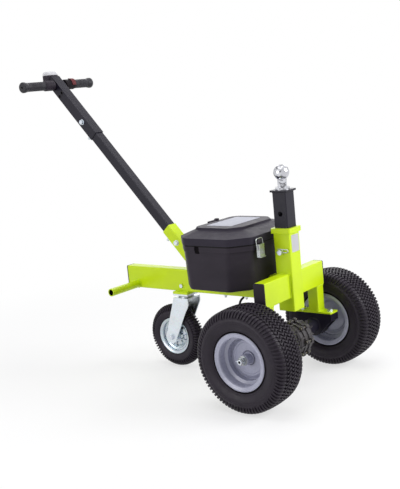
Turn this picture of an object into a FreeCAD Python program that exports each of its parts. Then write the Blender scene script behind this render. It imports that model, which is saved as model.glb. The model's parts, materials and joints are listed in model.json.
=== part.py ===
import FreeCAD, Part
import math
import os

# Electric trailer dolly. Millimetres. +X points forward, from the handlebar to the ball post,
# +Y to the operator's left and +Z up, with the floor at z = 0. Parts are drawn with the drive
# axle at x = 0, then moved forward so that the origin lies on the floor under the middle.

V = FreeCAD.Vector
X_AXIS = V(1, 0, 0)
Y_AXIS = V(0, 1, 0)
Z_AXIS = V(0, 0, 1)

AXLE_AHEAD = 434.0        # drive axle ahead of the origin

# Named clearances
SEAT_GAP = 0.3            # faces that rest or touch without a weld
RUNNING_GAP = 0.05        # radial, shaft in its hole
SLIDE_GAP = 0.5           # each side, square tube in square tube

# Drive wheels
WHEEL_OD = 330.0
TYRE_WIDTH = 125.0
TRACK = 500.0
RIM_FLANGE_OD = 184.0
RIM_WIDTH = 105.0
RIM_SEAT_OD = 158.0
RIM_WALL = 3.0
RIM_DISC_DEPTH = 0.5      # disc plane inboard of the wheel's middle
WHEEL_HUB_OD = 34.0
AXLE_SHAFT_OD = 25.0
HUB_OUTREACH = 28.0       # hub tube end outboard of the wheel's middle
NUT_HEIGHT = 14.0
NUT_FLATS = 24.0
HUB_WASHER = 3.0
STUB_THREAD_OD = 16.0
CENTRE_HOLE_OD = 9.0
STUB_END = 4.0            # thread beyond the nut

# Frame tubes
FRAME_X = 4.0             # mast centre ahead of the drive axle
SIDE_BOLT_OD = 8.0
SIDE_BOLT_Z = 305.0
BEAM_WIDTH = 40.0
BEAM_HEIGHT = 80.0
BEAM_WALL = 3.0
BEAM_BOTTOM = 285.0
BEAM_REAR_X = -700.0
CROSS_BOTTOM = 298.0
CROSS_LENGTH = 350.0
END_CAP = 4.0
TUBE_RADIUS = 4.0

# Mast, also the receiver of the ball post
MAST_SIZE = 60.0
MAST_WALL = 4.5
MAST_BOTTOM = 255.0
MAST_TOP = 524.0
COLLAR_SIZE = MAST_SIZE + 12.0
COLLAR_HEIGHT = 16.0
HITCH_PIN_Z = 449.0
HITCH_PIN_OD = 16.0

# Ball post
POST_WALL = 4.0
POST_TOP = 639.0
POST_INSERT = 150.0
POST_HOLE_PITCH = 60.0
POST_PLATE_SIZE = 62.0
POST_PLATE_THICK = 6.0
BALL_OD = 50.8
BALL_NECK_OD = 30.0
BALL_FLANGE_OD = 48.0
BALL_FLANGE_THICK = 8.0
BALL_RISE = 54.0          # ball centre above the post plate

# Axle legs and brackets
LEG_SIZE = 40.0
LEG_Y = 148.0
PLATE_LENGTH = 134.0
PLATE_WIDTH = 44.0
PLATE_THICK = 5.0
PLATE_BOTTOM = 207.0
PLATE_BOLT_INSET = 15.0
BRACKET_WALL = 5.0
BRACKET_SKIRT = 22.0
BRACKET_HUB_R = 37.0

# Transaxle
AXLE_TUBE_OD = 50.0
AXLE_TUBE_END = 175.0
GEAR_CASE_R = 54.0
GEAR_CASE_HALF = 38.0
GEAR_CASE_DROP = 13.0     # case centre below the axle
CASE_FLANGE_R = 58.0
CASE_FLANGE_THICK = 9.0
CASE_FLANGE_Y = 12.0
CASE_BOLTS = 8
CASE_BOLT_CIRCLE = CASE_FLANGE_R + 2.5
CASE_BOLT_OD = 6.0
CASE_LUG_R = 7.0
MOTOR_OD = 90.0
MOTOR_LENGTH = 158.0
MOTOR_Z = 172.0
MOTOR_NECK_OD = 62.0
MOTOR_NECK_END = -78.0
CABLE_OD = 8.0

# Rear side pipe
PIPE_OD = 28.0
PIPE_WALL = 3.0
PIPE_LENGTH = 328.0
PIPE_X = -651.0
PIPE_Z = 300.0

# Caster
CASTER_X = -441.0
CASTER_TRAIL = 60.0
CASTER_OD = 230.0
CASTER_TYRE_WIDTH = 50.0
CASTER_FLANGE_OD = 134.0
CASTER_RIM_WIDTH = 42.0
CASTER_HUB_OD = 34.0
CASTER_AXLE_OD = 12.0
MOUNT_PLATE = 66.0
MOUNT_PLATE_THICK = 8.0
TOP_PLATE_THICK = 6.0
RACE_HEIGHT = 8.0
RACE_OD = 56.0
KINGPIN_OD = 16.0
CROWN_THICK = 6.0
FORK_GAP = 62.0
FORK_THICK = 4.0
FORK_END_WIDTH = 47.0

# Handle
HANDLE_LEAN = 42.3        # degrees from upright, towards the rear
HANDLE_FOOT_X = -358.0    # handle axis at the top of the beam
SOCKET_WALL = 2.2
SOCKET_END = 195.0        # distances along the handle axis from its foot
LOWER_SIZE = 35.0
SOCKET_SIZE = LOWER_SIZE + 2 * (SEAT_GAP + SOCKET_WALL)
LOWER_WALL = 2.5
LOWER_START = 75.0
LOWER_END = 826.0
UPPER_WALL = 2.0
UPPER_SIZE = LOWER_SIZE + 2 * (SLIDE_GAP + UPPER_WALL)
UPPER_START = 652.0
UPPER_END = 951.0
BAR_ALONG = 922.0
BAR_OD = 25.0
BAR_LENGTH = 336.0
GRIP_OD = 33.0
GRIP_FLARE_OD = 39.0
GRIP_END = 173.0
RIGHT_GRIP_START = 69.0
LEFT_GRIP_START = 82.0
SLEEVE_OD = 39.0
SLEEVE_START = UPPER_SIZE / 2 + 2
HEAD_OD = 58.0
HEAD_BOTTOM = 1058.0
HEAD_TOP = 1086.0
HEAD_BEHIND = 34.0        # head centre behind the bar
HEAD_CAP_THICK = 14.0
HEAD_CAP_ROUND = 10.0
CLAMP_BOLT_OD = 10.0

# Battery box
BOX_FRONT = -45.0
BOX_REAR = -327.0
BOX_SIDE = 155.0          # box beyond each side of the beam and socket
BOX_WIDTH = max(BEAM_WIDTH, SOCKET_SIZE) + 2 * BOX_SIDE
BOX_CHAMFERS = (45.0, 56.0)      # rear and front corners
BOX_CORNER_R = 26.0
BOX_BOTTOM = 337.0
BOX_SEAM = 488.0
LID_RIM_TOP = 511.5
LID_TOP = 536.0
LID_STEP = 7.0            # height of the step round the lid's flat top
LID_INSET_REAR = 42.0
LID_INSET_FRONT = 61.0
LID_INSET_SIDE = 60.0
LID_CHAMFERS = (20.0, 36.0)      # rear and front corners of the flat top
BOX_WALL = 4.0
BOX_TAPER_REAR = 6.0
BOX_TAPER_FRONT = 19.5
BOX_TAPER_SIDE = 9.0
BOX_FOOT_RADIUS = 10.0
BOX_LIP = 2.0
BAND_HEIGHT = 20.0       # thicker band round the base's rim
BAND_THICK = 1.8
SADDLE_GAP = 2.0
BOX_BOLT_OD = 8.0
BOX_BOLT_X = -220.0       # middle of the two bolts that hold the box down
BOX_BOLT_PITCH = 88.0
POCKET_X = -229.0         # lid lock pockets in the side walls
POCKET_WIDTH = 19.0
POCKET_DEPTH = 3.5
LATCH_Y = 91.0            # each side of the middle
LATCH_WIDTH = 26.0
LATCH_DEPTH = 12.0
LATCH_LOOP_HALF = 17.0
LATCH_HOOK_Z = LID_RIM_TOP - 10
LATCH_STANDOFF = 5.3      # behind the latch levers, to the base's rim
BATTERY_SIZE = (181.0, 76.0, 150.0)
LID_PIVOT_X = BOX_REAR - 7.0
LID_PIVOT_Z = BOX_SEAM + 2.0
HINGE_PIN_OD = 6.0
HINGE_KNUCKLE_OD = 13.0
LID_KNUCKLE_HALF = 24.0
HINGE_HALF = 46.0

HANDLE_TILT = FreeCAD.Rotation(Y_AXIS, -HANDLE_LEAN)
HANDLE_DIR = HANDLE_TILT.multVec(Z_AXIS)
HANDLE_FRONT = HANDLE_TILT.multVec(X_AXIS)
BEAM_TOP = BEAM_BOTTOM + BEAM_HEIGHT
HANDLE_FOOT = V(HANDLE_FOOT_X, 0, BEAM_TOP)
AXLE_Z = WHEEL_OD / 2
CASTER_AXLE_X = CASTER_X - CASTER_TRAIL
CASTER_AXLE_Z = CASTER_OD / 2
CASE_Z = AXLE_Z - GEAR_CASE_DROP
POST_SIZE = MAST_SIZE - 2 * MAST_WALL - 2 * SLIDE_GAP
POST_PLATE_TOP = POST_TOP + POST_PLATE_THICK


# ---------------------------------------------------------------- shapes
def box(x0, x1, y0, y1, z0, z1):
    return Part.makeBox(x1 - x0, y1 - y0, z1 - z0, V(x0, y0, z0))


def rod(start, axis, length, radius):
    return Part.makeCylinder(radius, length, start, axis)


def rod_y(x, z, y0, y1, radius):
    return rod(V(x, y0, z), Y_AXIS, y1 - y0, radius)


def rod_z(x, y, z0, z1, radius):
    return rod(V(x, y, z0), Z_AXIS, z1 - z0, radius)


def ring_y(x, z, y0, y1, outer, inner):
    return rod_y(x, z, y0, y1, outer).cut(rod_y(x, z, y0 - 1, y1 + 1, inner))


def prism_xz(points, y0, y1):
    corners = [V(x, y0, z) for x, z in points]
    wire = Part.makePolygon(corners + corners[:1])
    return Part.Face(wire).extrude(V(0, y1 - y0, 0))


def bar_along(origin, rotation, width, height, start, end, radius):
    """Solid bar with rounded corners along the rotated Z axis, from start to end."""
    solid = Part.makeBox(width, height, end - start, V(-width / 2, -height / 2, start))
    edges = [e for e in solid.Edges if abs(e.Length - (end - start)) < 1e-6 and is_upright(e)]
    solid = solid.makeFillet(radius, edges)
    solid.Placement = FreeCAD.Placement(origin, rotation)
    return solid


def is_upright(edge):
    a, b = edge.Vertexes[0].Point, edge.Vertexes[1].Point
    return abs(a.x - b.x) < 1e-6 and abs(a.y - b.y) < 1e-6


def tube_along(origin, rotation, width, height, start, end, wall, radius=TUBE_RADIUS):
    outer = bar_along(origin, rotation, width, height, start, end, radius)
    hole_radius = max(radius - wall, 0.8)
    hole = bar_along(origin, rotation, width - 2 * wall, height - 2 * wall,
                     start - 1, end + 1, hole_radius)
    return outer.cut(hole)


ALONG_X = FreeCAD.Rotation(Y_AXIS, 90)
ALONG_Y = FreeCAD.Rotation(X_AXIS, -90)
UPRIGHT = FreeCAD.Rotation()


def hex_head(centre, axis, across_flats, height):
    """Hexagonal prism standing on centre along axis."""
    radius = across_flats / math.sqrt(3)
    corners = [V(radius * math.cos(math.radians(60 * i)), radius * math.sin(math.radians(60 * i)), 0)
               for i in range(7)]
    solid = Part.Face(Part.makePolygon(corners)).extrude(V(0, 0, height))
    solid.Placement = FreeCAD.Placement(centre, FreeCAD.Rotation(Z_AXIS, axis))
    return solid


def mirror_y(shape):
    return shape.mirror(V(0, 0, 0), Y_AXIS)


def fuse(shapes):
    whole = shapes[0]
    for shape in shapes[1:]:
        whole = whole.fuse(shape)
    return whole.removeSplitter()


def compound(shapes):
    return Part.makeCompound(shapes)


def left_and_right(shape):
    return compound([shape, mirror_y(shape)])


def revolve_y(points, x, z, y_mid):
    """Turn a closed outline of (y, radius) points about the Y axis through x, z."""
    corners = [V(x, y_mid + y, z + r) for y, r in points]
    wire = Part.makePolygon(corners + corners[:1])
    return Part.Face(wire).revolve(V(x, 0, z), Y_AXIS, 360)


def rounded_loop(corners, radius):
    """Closed outline through corners, each turned into an arc."""
    arcs = []
    for i, corner in enumerate(corners):
        before = (corners[i - 1] - corner).normalize()
        after = (corners[(i + 1) % len(corners)] - corner).normalize()
        half_angle = before.getAngle(after) / 2
        back = radius / math.tan(half_angle)
        middle = (before + after).normalize() * (radius / math.sin(half_angle) - radius)
        arcs.append(Part.Arc(corner + before * back, corner + middle, corner + after * back).toShape())
    edges = []
    for arc, following in zip(arcs, arcs[1:] + arcs[:1]):
        edges.append(arc)
        edges.append(Part.makeLine(arc.Vertexes[-1].Point, following.Vertexes[0].Point))
    return Part.Wire(edges)


def octagon(rear, front, side, z, chamfers=BOX_CHAMFERS, wall=0.0):
    """Eight-sided outline with rounded corners, inset from the lid's widest size and by a wall."""
    x0, x1 = BOX_REAR + rear + wall, BOX_FRONT - front - wall
    half = BOX_WIDTH / 2 - side - wall
    trim = (2 - math.sqrt(2)) * wall
    a, b = chamfers[0] - trim, chamfers[1] - trim
    pts = [(x0 + a, -half), (x1 - b, -half), (x1, -half + b), (x1, half - b),
           (x1 - b, half), (x0 + a, half), (x0, half - a), (x0, -half + a)]
    return rounded_loop([V(x, y, z) for x, y in pts], BOX_CORNER_R - wall)


def loft(wires):
    return Part.makeLoft(wires, True, True)


# ---------------------------------------------------------------- frame
def main_beam():
    beam = tube_along(V(BEAM_REAR_X + END_CAP, 0, BEAM_BOTTOM + BEAM_HEIGHT / 2), ALONG_X,
                      BEAM_HEIGHT, BEAM_WIDTH, 0,
                      FRAME_X - MAST_SIZE / 2 - BEAM_REAR_X - END_CAP, BEAM_WALL)
    holes = [rod_y(PIPE_X, PIPE_Z, -BEAM_WIDTH, BEAM_WIDTH, PIPE_OD / 2 + SEAT_GAP),
             rod_y(CASTER_X, SIDE_BOLT_Z, -BEAM_WIDTH, BEAM_WIDTH, SIDE_BOLT_OD / 2)]
    for x in box_bolt_places():
        holes.append(rod_z(x, 0, BEAM_BOTTOM - 1, BEAM_TOP + 1, BOX_BOLT_OD / 2))
    for hole in holes:
        beam = beam.cut(hole)
    return beam


def beam_side_bolt():
    """Cross bolt through the beam above the caster, head on the right, nut on the left."""
    half = BEAM_WIDTH / 2
    shank = rod_y(CASTER_X, SIDE_BOLT_Z, -half - 1, half + 11, SIDE_BOLT_OD / 2 - RUNNING_GAP)
    head = hex_head(V(CASTER_X, -half, SIDE_BOLT_Z), Y_AXIS * -1, 13, 5.5)
    nut = hex_head(V(CASTER_X, half, SIDE_BOLT_Z), Y_AXIS, 13, 7)
    return fuse([shank, head, nut])


def beam_end_cap():
    return bar_along(V(BEAM_REAR_X, 0, BEAM_BOTTOM + BEAM_HEIGHT / 2), ALONG_X,
                     BEAM_HEIGHT, BEAM_WIDTH, 0, END_CAP, TUBE_RADIUS)


def cross_arms():
    arm = tube_along(V(FRAME_X, 0, CROSS_BOTTOM + BEAM_HEIGHT / 2), ALONG_Y,
                     BEAM_WIDTH, BEAM_HEIGHT, MAST_SIZE / 2, CROSS_LENGTH / 2 - END_CAP, BEAM_WALL)
    return left_and_right(arm)


def cross_arm_end_caps():
    cap = bar_along(V(FRAME_X, 0, CROSS_BOTTOM + BEAM_HEIGHT / 2), ALONG_Y, BEAM_WIDTH, BEAM_HEIGHT,
                    CROSS_LENGTH / 2 - END_CAP, CROSS_LENGTH / 2, TUBE_RADIUS)
    return left_and_right(cap)


def mast():
    tube = tube_along(V(FRAME_X, 0, 0), UPRIGHT, MAST_SIZE, MAST_SIZE, MAST_BOTTOM, MAST_TOP, MAST_WALL)
    return tube.cut(rod_y(FRAME_X, HITCH_PIN_Z, -MAST_SIZE, MAST_SIZE, HITCH_PIN_OD / 2 + SEAT_GAP))


def mast_collar():
    ring = bar_along(V(FRAME_X, 0, 0), UPRIGHT, COLLAR_SIZE, COLLAR_SIZE,
                     MAST_TOP - COLLAR_HEIGHT, MAST_TOP, TUBE_RADIUS + 2)
    hole = bar_along(V(FRAME_X, 0, 0), UPRIGHT, MAST_SIZE, MAST_SIZE,
                     MAST_TOP - COLLAR_HEIGHT - 1, MAST_TOP + 1, TUBE_RADIUS)
    return ring.cut(hole)


def rear_side_pipe():
    half = PIPE_LENGTH / 2
    return ring_y(PIPE_X, PIPE_Z, -half, half, PIPE_OD / 2, PIPE_OD / 2 - PIPE_WALL)


def axle_legs():
    leg = tube_along(V(FRAME_X, LEG_Y, 0), UPRIGHT, LEG_SIZE, LEG_SIZE,
                     PLATE_BOTTOM + PLATE_THICK, CROSS_BOTTOM, BEAM_WALL)
    return left_and_right(leg)


def plate_bolt_places():
    return [FRAME_X + side * (PLATE_LENGTH / 2 - PLATE_BOLT_INSET) for side in (-1, 1)]


def axle_plates():
    plate = box(FRAME_X - PLATE_LENGTH / 2, FRAME_X + PLATE_LENGTH / 2,
                LEG_Y - PLATE_WIDTH / 2, LEG_Y + PLATE_WIDTH / 2,
                PLATE_BOTTOM, PLATE_BOTTOM + PLATE_THICK)
    for x in plate_bolt_places():
        plate = plate.cut(rod_z(x, LEG_Y, PLATE_BOTTOM - 1, PLATE_BOTTOM + 9, 5))
    return left_and_right(plate)


def axle_brackets():
    """Pressed channel under the plate whose cheeks reach down round the axle tube."""
    x0, x1 = FRAME_X - PLATE_LENGTH / 2, FRAME_X + PLATE_LENGTH / 2
    y0, y1 = LEG_Y - PLATE_WIDTH / 2, LEG_Y + PLATE_WIDTH / 2
    top = PLATE_BOTTOM
    slope = math.radians(62)
    hub = BRACKET_HUB_R
    outline = [(x0, top), (x1, top), (x1, top - BRACKET_SKIRT),
               (hub * math.sin(slope), AXLE_Z - hub * math.cos(slope)),
               (-hub * math.sin(slope), AXLE_Z - hub * math.cos(slope)),
               (x0, top - BRACKET_SKIRT)]
    body = prism_xz(outline, y0, y1).fuse(rod_y(0, AXLE_Z, y0, y1, hub))
    w = BRACKET_WALL
    pocket_lines = [(x0 + w, top - w), (x1 - w, top - w), (x1 - w, top - BRACKET_SKIRT - 60),
                    (x0 + w, top - BRACKET_SKIRT - 60)]
    body = body.cut(prism_xz(pocket_lines, y0 + w, y1 - w))
    body = body.cut(rod_y(0, AXLE_Z, y0 - 1, y1 + 1, AXLE_TUBE_OD / 2))
    for x in plate_bolt_places():
        body = body.cut(rod_z(x, LEG_Y, top - 9, top + 1, 5))
    return left_and_right(body.removeSplitter())


def left_axle_bolts():
    """Bolts through plate and bracket, nuts below."""
    bolts = []
    for x in plate_bolt_places():
        top = PLATE_BOTTOM + PLATE_THICK
        low = PLATE_BOTTOM - BRACKET_WALL
        bolts.append(fuse([rod_z(x, LEG_Y, low - 9, top, 4.9), rod_z(x, LEG_Y, top, top + 1.5, 10),
                           hex_head(V(x, LEG_Y, top + 1.5), Z_AXIS, 16, 6),
                           hex_head(V(x, LEG_Y, low - 7), Z_AXIS, 16, 7)]))
    return bolts


def axle_bolts():
    left = left_axle_bolts()
    return compound(left + [mirror_y(b) for b in left])


# ---------------------------------------------------------------- transaxle
def axle_housing():
    """Left and right axle tubes, each bored for its half shaft."""
    tube = rod_y(0, AXLE_Z, GEAR_CASE_HALF + 24, AXLE_TUBE_END, AXLE_TUBE_OD / 2)
    bore = rod_y(0, AXLE_Z, AXLE_TUBE_END - 60, AXLE_TUBE_END + 1, AXLE_SHAFT_OD / 2 + RUNNING_GAP)
    return left_and_right(tube.cut(bore))


def case_bolt_places():
    """Places round the case flanges that the motor neck leaves free."""
    places = []
    for i in range(CASE_BOLTS):
        angle = math.radians(360 / CASE_BOLTS * i)
        x = CASE_BOLT_CIRCLE * math.cos(angle)
        z = CASE_Z + CASE_BOLT_CIRCLE * math.sin(angle)
        if x > -1 or z < MOTOR_Z - MOTOR_NECK_OD / 2 - CASE_LUG_R:
            places.append((x, z))
    return places


def gear_case():
    """Two cast halves bolted at ribbed flanges, with a cone to each axle tube and a motor neck."""
    h, r = GEAR_CASE_HALF, GEAR_CASE_R
    drum = revolve_y([(-h, 0), (-h, r - 6), (6 - h, r), (h - 6, r), (h, r - 6), (h, 0)], 0, CASE_Z, 0)
    base = AXLE_TUBE_OD / 2 + 14
    tip = AXLE_TUBE_OD / 2 + 6
    cone = revolve_y([(-h - 24, 0), (-h - 24, tip), (-h, base), (h, base), (h + 24, tip), (h + 24, 0)],
                     0, AXLE_Z, 0)
    neck = rod(V(MOTOR_NECK_END, 0, MOTOR_Z), X_AXIS, -MOTOR_NECK_END, MOTOR_NECK_OD / 2)
    body = drum.fuse(cone).fuse(neck)
    t = CASE_FLANGE_THICK / 2
    for y in (-CASE_FLANGE_Y, CASE_FLANGE_Y):
        body = body.fuse(rod_y(0, CASE_Z, y - t, y + t, CASE_FLANGE_R))
        for x, z in case_bolt_places():
            body = body.fuse(rod_y(x, z, y - t, y + t, CASE_LUG_R))
    return body.removeSplitter()


def gear_case_bolts():
    """Bolts across the gap between the flanges, heads outside."""
    bolts = []
    inner = CASE_FLANGE_Y - CASE_FLANGE_THICK / 2
    outer = CASE_FLANGE_Y + CASE_FLANGE_THICK / 2
    for x, z in case_bolt_places():
        bolts.append(rod_y(x, z, -inner, inner, CASE_BOLT_OD / 2))
        bolts.append(hex_head(V(x, outer, z), Y_AXIS, 10, 5))
        bolts.append(hex_head(V(x, -outer, z), Y_AXIS * -1, 10, 5))
    return compound(bolts)


def drive_motor():
    end = MOTOR_NECK_END
    body = rod(V(end - MOTOR_LENGTH, 0, MOTOR_Z), X_AXIS, MOTOR_LENGTH, MOTOR_OD / 2)
    flange = rod(V(end - 10, 0, MOTOR_Z), X_AXIS, 10, MOTOR_OD / 2 + 5)
    bell = rod(V(end - MOTOR_LENGTH - 6, 0, MOTOR_Z), X_AXIS, 6, MOTOR_OD / 2 - 8)
    gland = rod_z(CABLE_LOW.x, CABLE_LOW.y, MOTOR_Z, CABLE_LOW.z, 11)
    return fuse([body, flange, bell, gland])


# Cable route: down out of the box, slanting to the motor, down into its gland
CABLE_TOP = V(-185, 62, BOX_BOTTOM)
CABLE_BEND_1 = V(-185, 62, 298)
CABLE_BEND_2 = V(-219, 16, 257)
CABLE_LOW = V(-219, 16, MOTOR_Z + MOTOR_OD / 2 + 10)


def bent_route(points, bend=1000.0):
    """Straight runs joined by arcs tangent to both, each run bent over at most the given length."""
    edges = []
    here = points[0]
    for before, corner, after in zip(points, points[1:], points[2:]):
        into = (before - corner).normalize()
        out = (after - corner).normalize()
        turn = math.pi - into.getAngle(out)
        reach = min(bend, 0.45 * min(before.distanceToPoint(corner), after.distanceToPoint(corner)))
        radius = reach / math.tan(turn / 2)
        first = corner + into * reach
        last = corner + out * reach
        middle_dir = (into + out).normalize()
        middle = corner + middle_dir * (radius / math.cos(turn / 2) - radius)
        edges.append(Part.makeLine(here, first))
        edges.append(Part.Arc(first, middle, last).toShape())
        here = last
    edges.append(Part.makeLine(here, points[-1]))
    return Part.Wire(edges)


def motor_cable():
    route = bent_route([CABLE_TOP, CABLE_BEND_1, CABLE_BEND_2, CABLE_LOW])
    section = Part.Wire(Part.makeCircle(CABLE_OD / 2, CABLE_TOP, Z_AXIS * -1))
    return route.makePipeShell([section], True, True)


# ---------------------------------------------------------------- drive wheel
def drive_tyre(y_mid):
    half = TYRE_WIDTH / 2
    r = WHEEL_OD / 2
    rim_half = RIM_WIDTH / 2 - 5
    seat = RIM_SEAT_OD / 2 + 0.1
    flange = RIM_FLANGE_OD / 2 + 1

    def at(y, radius):
        return V(0, y_mid + y, AXLE_Z + radius)
    edges = [Part.makeLine(at(-rim_half, seat), at(rim_half, seat)),
             Part.makeLine(at(rim_half, seat), at(rim_half, flange)),
             Part.Arc(at(rim_half, flange), at(half, flange + 0.45 * (r - flange)),
                      at(half - 5, r - 14)).toShape(),
             Part.Arc(at(half - 5, r - 14), at(half - 11, r - 5.5), at(half - 22, r - 2)).toShape(),
             Part.Arc(at(half - 22, r - 2), at(0, r), at(22 - half, r - 2)).toShape(),
             Part.Arc(at(22 - half, r - 2), at(11 - half, r - 5.5), at(5 - half, r - 14)).toShape(),
             Part.Arc(at(5 - half, r - 14), at(-half, flange + 0.45 * (r - flange)),
                      at(-rim_half, flange)).toShape(),
             Part.makeLine(at(-rim_half, flange), at(-rim_half, seat))]
    return Part.Face(Part.Wire(edges)).revolve(V(0, 0, AXLE_Z), Y_AXIS, 360)


def drive_rim(y_mid, out):
    """Pressed rim with rolled flanges, a drop centre, a ridged disc and a hub tube."""
    h = RIM_WIDTH / 2
    seat = RIM_SEAT_OD / 2
    lip = RIM_FLANGE_OD / 2
    w = RIM_WALL
    well = seat - 9
    half_out = [(16, well), (22, seat), (h - 5, seat), (h - 4, lip - 1), (h - 3, lip), (h - 1, lip),
                (h + 0.5, lip - 2.5), (h + 0.5, lip - 5), (h - 1, lip - 8), (h - 3, seat - w + 2),
                (h - 7, seat - w), (22, seat - w), (17, well - w)]
    barrel = half_out + [(-y, r) for y, r in reversed(half_out)]
    d = -RIM_DISC_DEPTH
    hub = WHEEL_HUB_OD / 2
    edge = well - w + 1
    disc = [(d - 3, edge), (d - 2, edge - 5), (d + 1, edge - 9), (d + 3, edge - 12), (d + 3, edge - 16),
            (d, edge - 19), (d, hub + 7), (d - 5, hub + 4), (d - 5, hub - 1), (d - 8, hub - 1),
            (d - 8, hub + 6.5), (d - 3, hub + 9.5), (d - 3, edge - 18), (d, edge - 15), (d, edge - 13),
            (d - 2, edge - 11), (d - 5, edge - 7), (d - 6, edge)]
    tube = [(-60, AXLE_SHAFT_OD / 2), (HUB_OUTREACH, AXLE_SHAFT_OD / 2), (HUB_OUTREACH, hub - 2),
            (HUB_OUTREACH - 2, hub), (-60, hub)]
    parts = []
    for outline in (barrel, disc, tube):
        parts.append(revolve_y([(out * y, r) for y, r in outline], 0, AXLE_Z, y_mid))
    return fuse(parts)


def half_shaft(y_mid, out):
    """Shaft from the axle tube through the hub, with its thread end and centre hole."""
    inner = out * (AXLE_TUBE_END - 50)
    shoulder = y_mid + out * (HUB_OUTREACH - 2)
    end = y_mid + out * (HUB_OUTREACH + HUB_WASHER + NUT_HEIGHT + STUB_END)
    shaft = rod(V(0, inner, AXLE_Z), Y_AXIS * out, abs(shoulder - inner), AXLE_SHAFT_OD / 2)
    thread = rod(V(0, shoulder, AXLE_Z), Y_AXIS * out, abs(end - shoulder), STUB_THREAD_OD / 2)
    centre_hole = rod(V(0, end, AXLE_Z), Y_AXIS * -out, 12, CENTRE_HOLE_OD / 2)
    return fuse([shaft, thread]).cut(centre_hole)


def castle_nut(y_mid, out):
    """Washer and slotted hexagon nut on the thread end."""
    axis = Y_AXIS * out
    base = V(0, y_mid + out * HUB_OUTREACH, AXLE_Z)
    nut_at = base + axis * HUB_WASHER
    hexagon = NUT_HEIGHT - 5
    crown_at = nut_at + axis * hexagon
    crown = rod(crown_at, axis, 5, NUT_FLATS / 2 - 1.5)
    for i in range(3):
        slot = Part.makeBox(40, 6, 4, V(-20, 0 if out > 0 else -6, -2))
        slot.rotate(V(0, 0, 0), Y_AXIS, 60 * i)
        slot.translate(crown_at)
        crown = crown.cut(slot)
    washer = rod(base, axis, HUB_WASHER, NUT_FLATS / 2 + 3)
    nut = fuse([washer, hex_head(nut_at, axis, NUT_FLATS, hexagon), crown])
    return nut.cut(rod(base - axis, axis, HUB_WASHER + NUT_HEIGHT + 2, STUB_THREAD_OD / 2))


# ---------------------------------------------------------------- caster
MOUNT_BOTTOM = BEAM_BOTTOM - MOUNT_PLATE_THICK
TOP_PLATE_BOTTOM = MOUNT_BOTTOM - TOP_PLATE_THICK
CROWN_TOP = TOP_PLATE_BOTTOM - RACE_HEIGHT
CROWN_BOTTOM = CROWN_TOP - CROWN_THICK


def caster_mount_plate():
    half = MOUNT_PLATE / 2
    return box(CASTER_X - half, CASTER_X + half, -half, half, MOUNT_BOTTOM, BEAM_BOTTOM)


def caster_top_plate():
    """Plate with the kingpin and its lower washer."""
    half = MOUNT_PLATE / 2
    plate = box(CASTER_X - half, CASTER_X + half, -half, half, TOP_PLATE_BOTTOM, MOUNT_BOTTOM)
    pin = rod_z(CASTER_X, 0, CROWN_BOTTOM - 8, TOP_PLATE_BOTTOM + 1, KINGPIN_OD / 2)
    washer = rod_z(CASTER_X, 0, CROWN_BOTTOM - 8, CROWN_BOTTOM - SEAT_GAP, 13)
    return fuse([plate, pin, washer])


def caster_race():
    """Ball race ring on the crown, below the top plate."""
    ring = rod_z(CASTER_X, 0, CROWN_TOP, TOP_PLATE_BOTTOM - SEAT_GAP, RACE_OD / 2)
    groove = rod_z(CASTER_X, 0, CROWN_TOP + 3, CROWN_TOP + 5, RACE_OD / 2 + 1)
    groove = groove.cut(rod_z(CASTER_X, 0, CROWN_TOP + 2, CROWN_TOP + 6, RACE_OD / 2 - 2))
    return ring.cut(groove).cut(rod_z(CASTER_X, 0, CROWN_TOP - 1, TOP_PLATE_BOTTOM, KINGPIN_OD / 2 + RUNNING_GAP))


def fork_leg():
    """Left leg: wide at the crown, rounded round the axle."""
    half = MOUNT_PLATE / 2
    r = FORK_END_WIDTH / 2
    ax, az = CASTER_AXLE_X, CASTER_AXLE_Z
    lean = math.atan2(CASTER_TRAIL, CROWN_TOP - az)
    side = V(math.cos(lean), 0, -math.sin(lean))
    rear = V(ax, 0, az) - side * r
    front = V(ax, 0, az) + side * r
    outline = [(CASTER_X - half, CROWN_TOP), (CASTER_X + half, CROWN_TOP), (CASTER_X + half, CROWN_TOP - 22),
               (front.x, front.z), (rear.x, rear.z), (CASTER_X - half, CROWN_TOP - 5)]
    y0 = FORK_GAP / 2
    y1 = y0 + FORK_THICK
    leg = prism_xz(outline, y0, y1).fuse(rod_y(ax, az, y0, y1, r))
    return leg.cut(rod_y(ax, az, y0 - 1, y1 + 1, CASTER_AXLE_OD / 2)).removeSplitter()


def caster_fork():
    half = MOUNT_PLATE / 2
    reach = FORK_GAP / 2 + FORK_THICK
    crown = box(CASTER_X - half, CASTER_X + half, -reach, reach, CROWN_BOTTOM, CROWN_TOP)
    leg = fork_leg()
    fork = fuse([crown, leg, mirror_y(leg)])
    return fork.cut(rod_z(CASTER_X, 0, CROWN_BOTTOM - 1, CROWN_TOP + 1, KINGPIN_OD / 2 + RUNNING_GAP))


def caster_axle():
    reach = FORK_GAP / 2 + FORK_THICK
    shaft = rod_y(CASTER_AXLE_X, CASTER_AXLE_Z, -reach - 9, reach + 12, CASTER_AXLE_OD / 2)
    head = hex_head(V(CASTER_AXLE_X, -reach, CASTER_AXLE_Z), Y_AXIS * -1, 19, 8)
    nut = hex_head(V(CASTER_AXLE_X, reach, CASTER_AXLE_Z), Y_AXIS, 19, 10)
    return fuse([shaft, head, nut])


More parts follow.
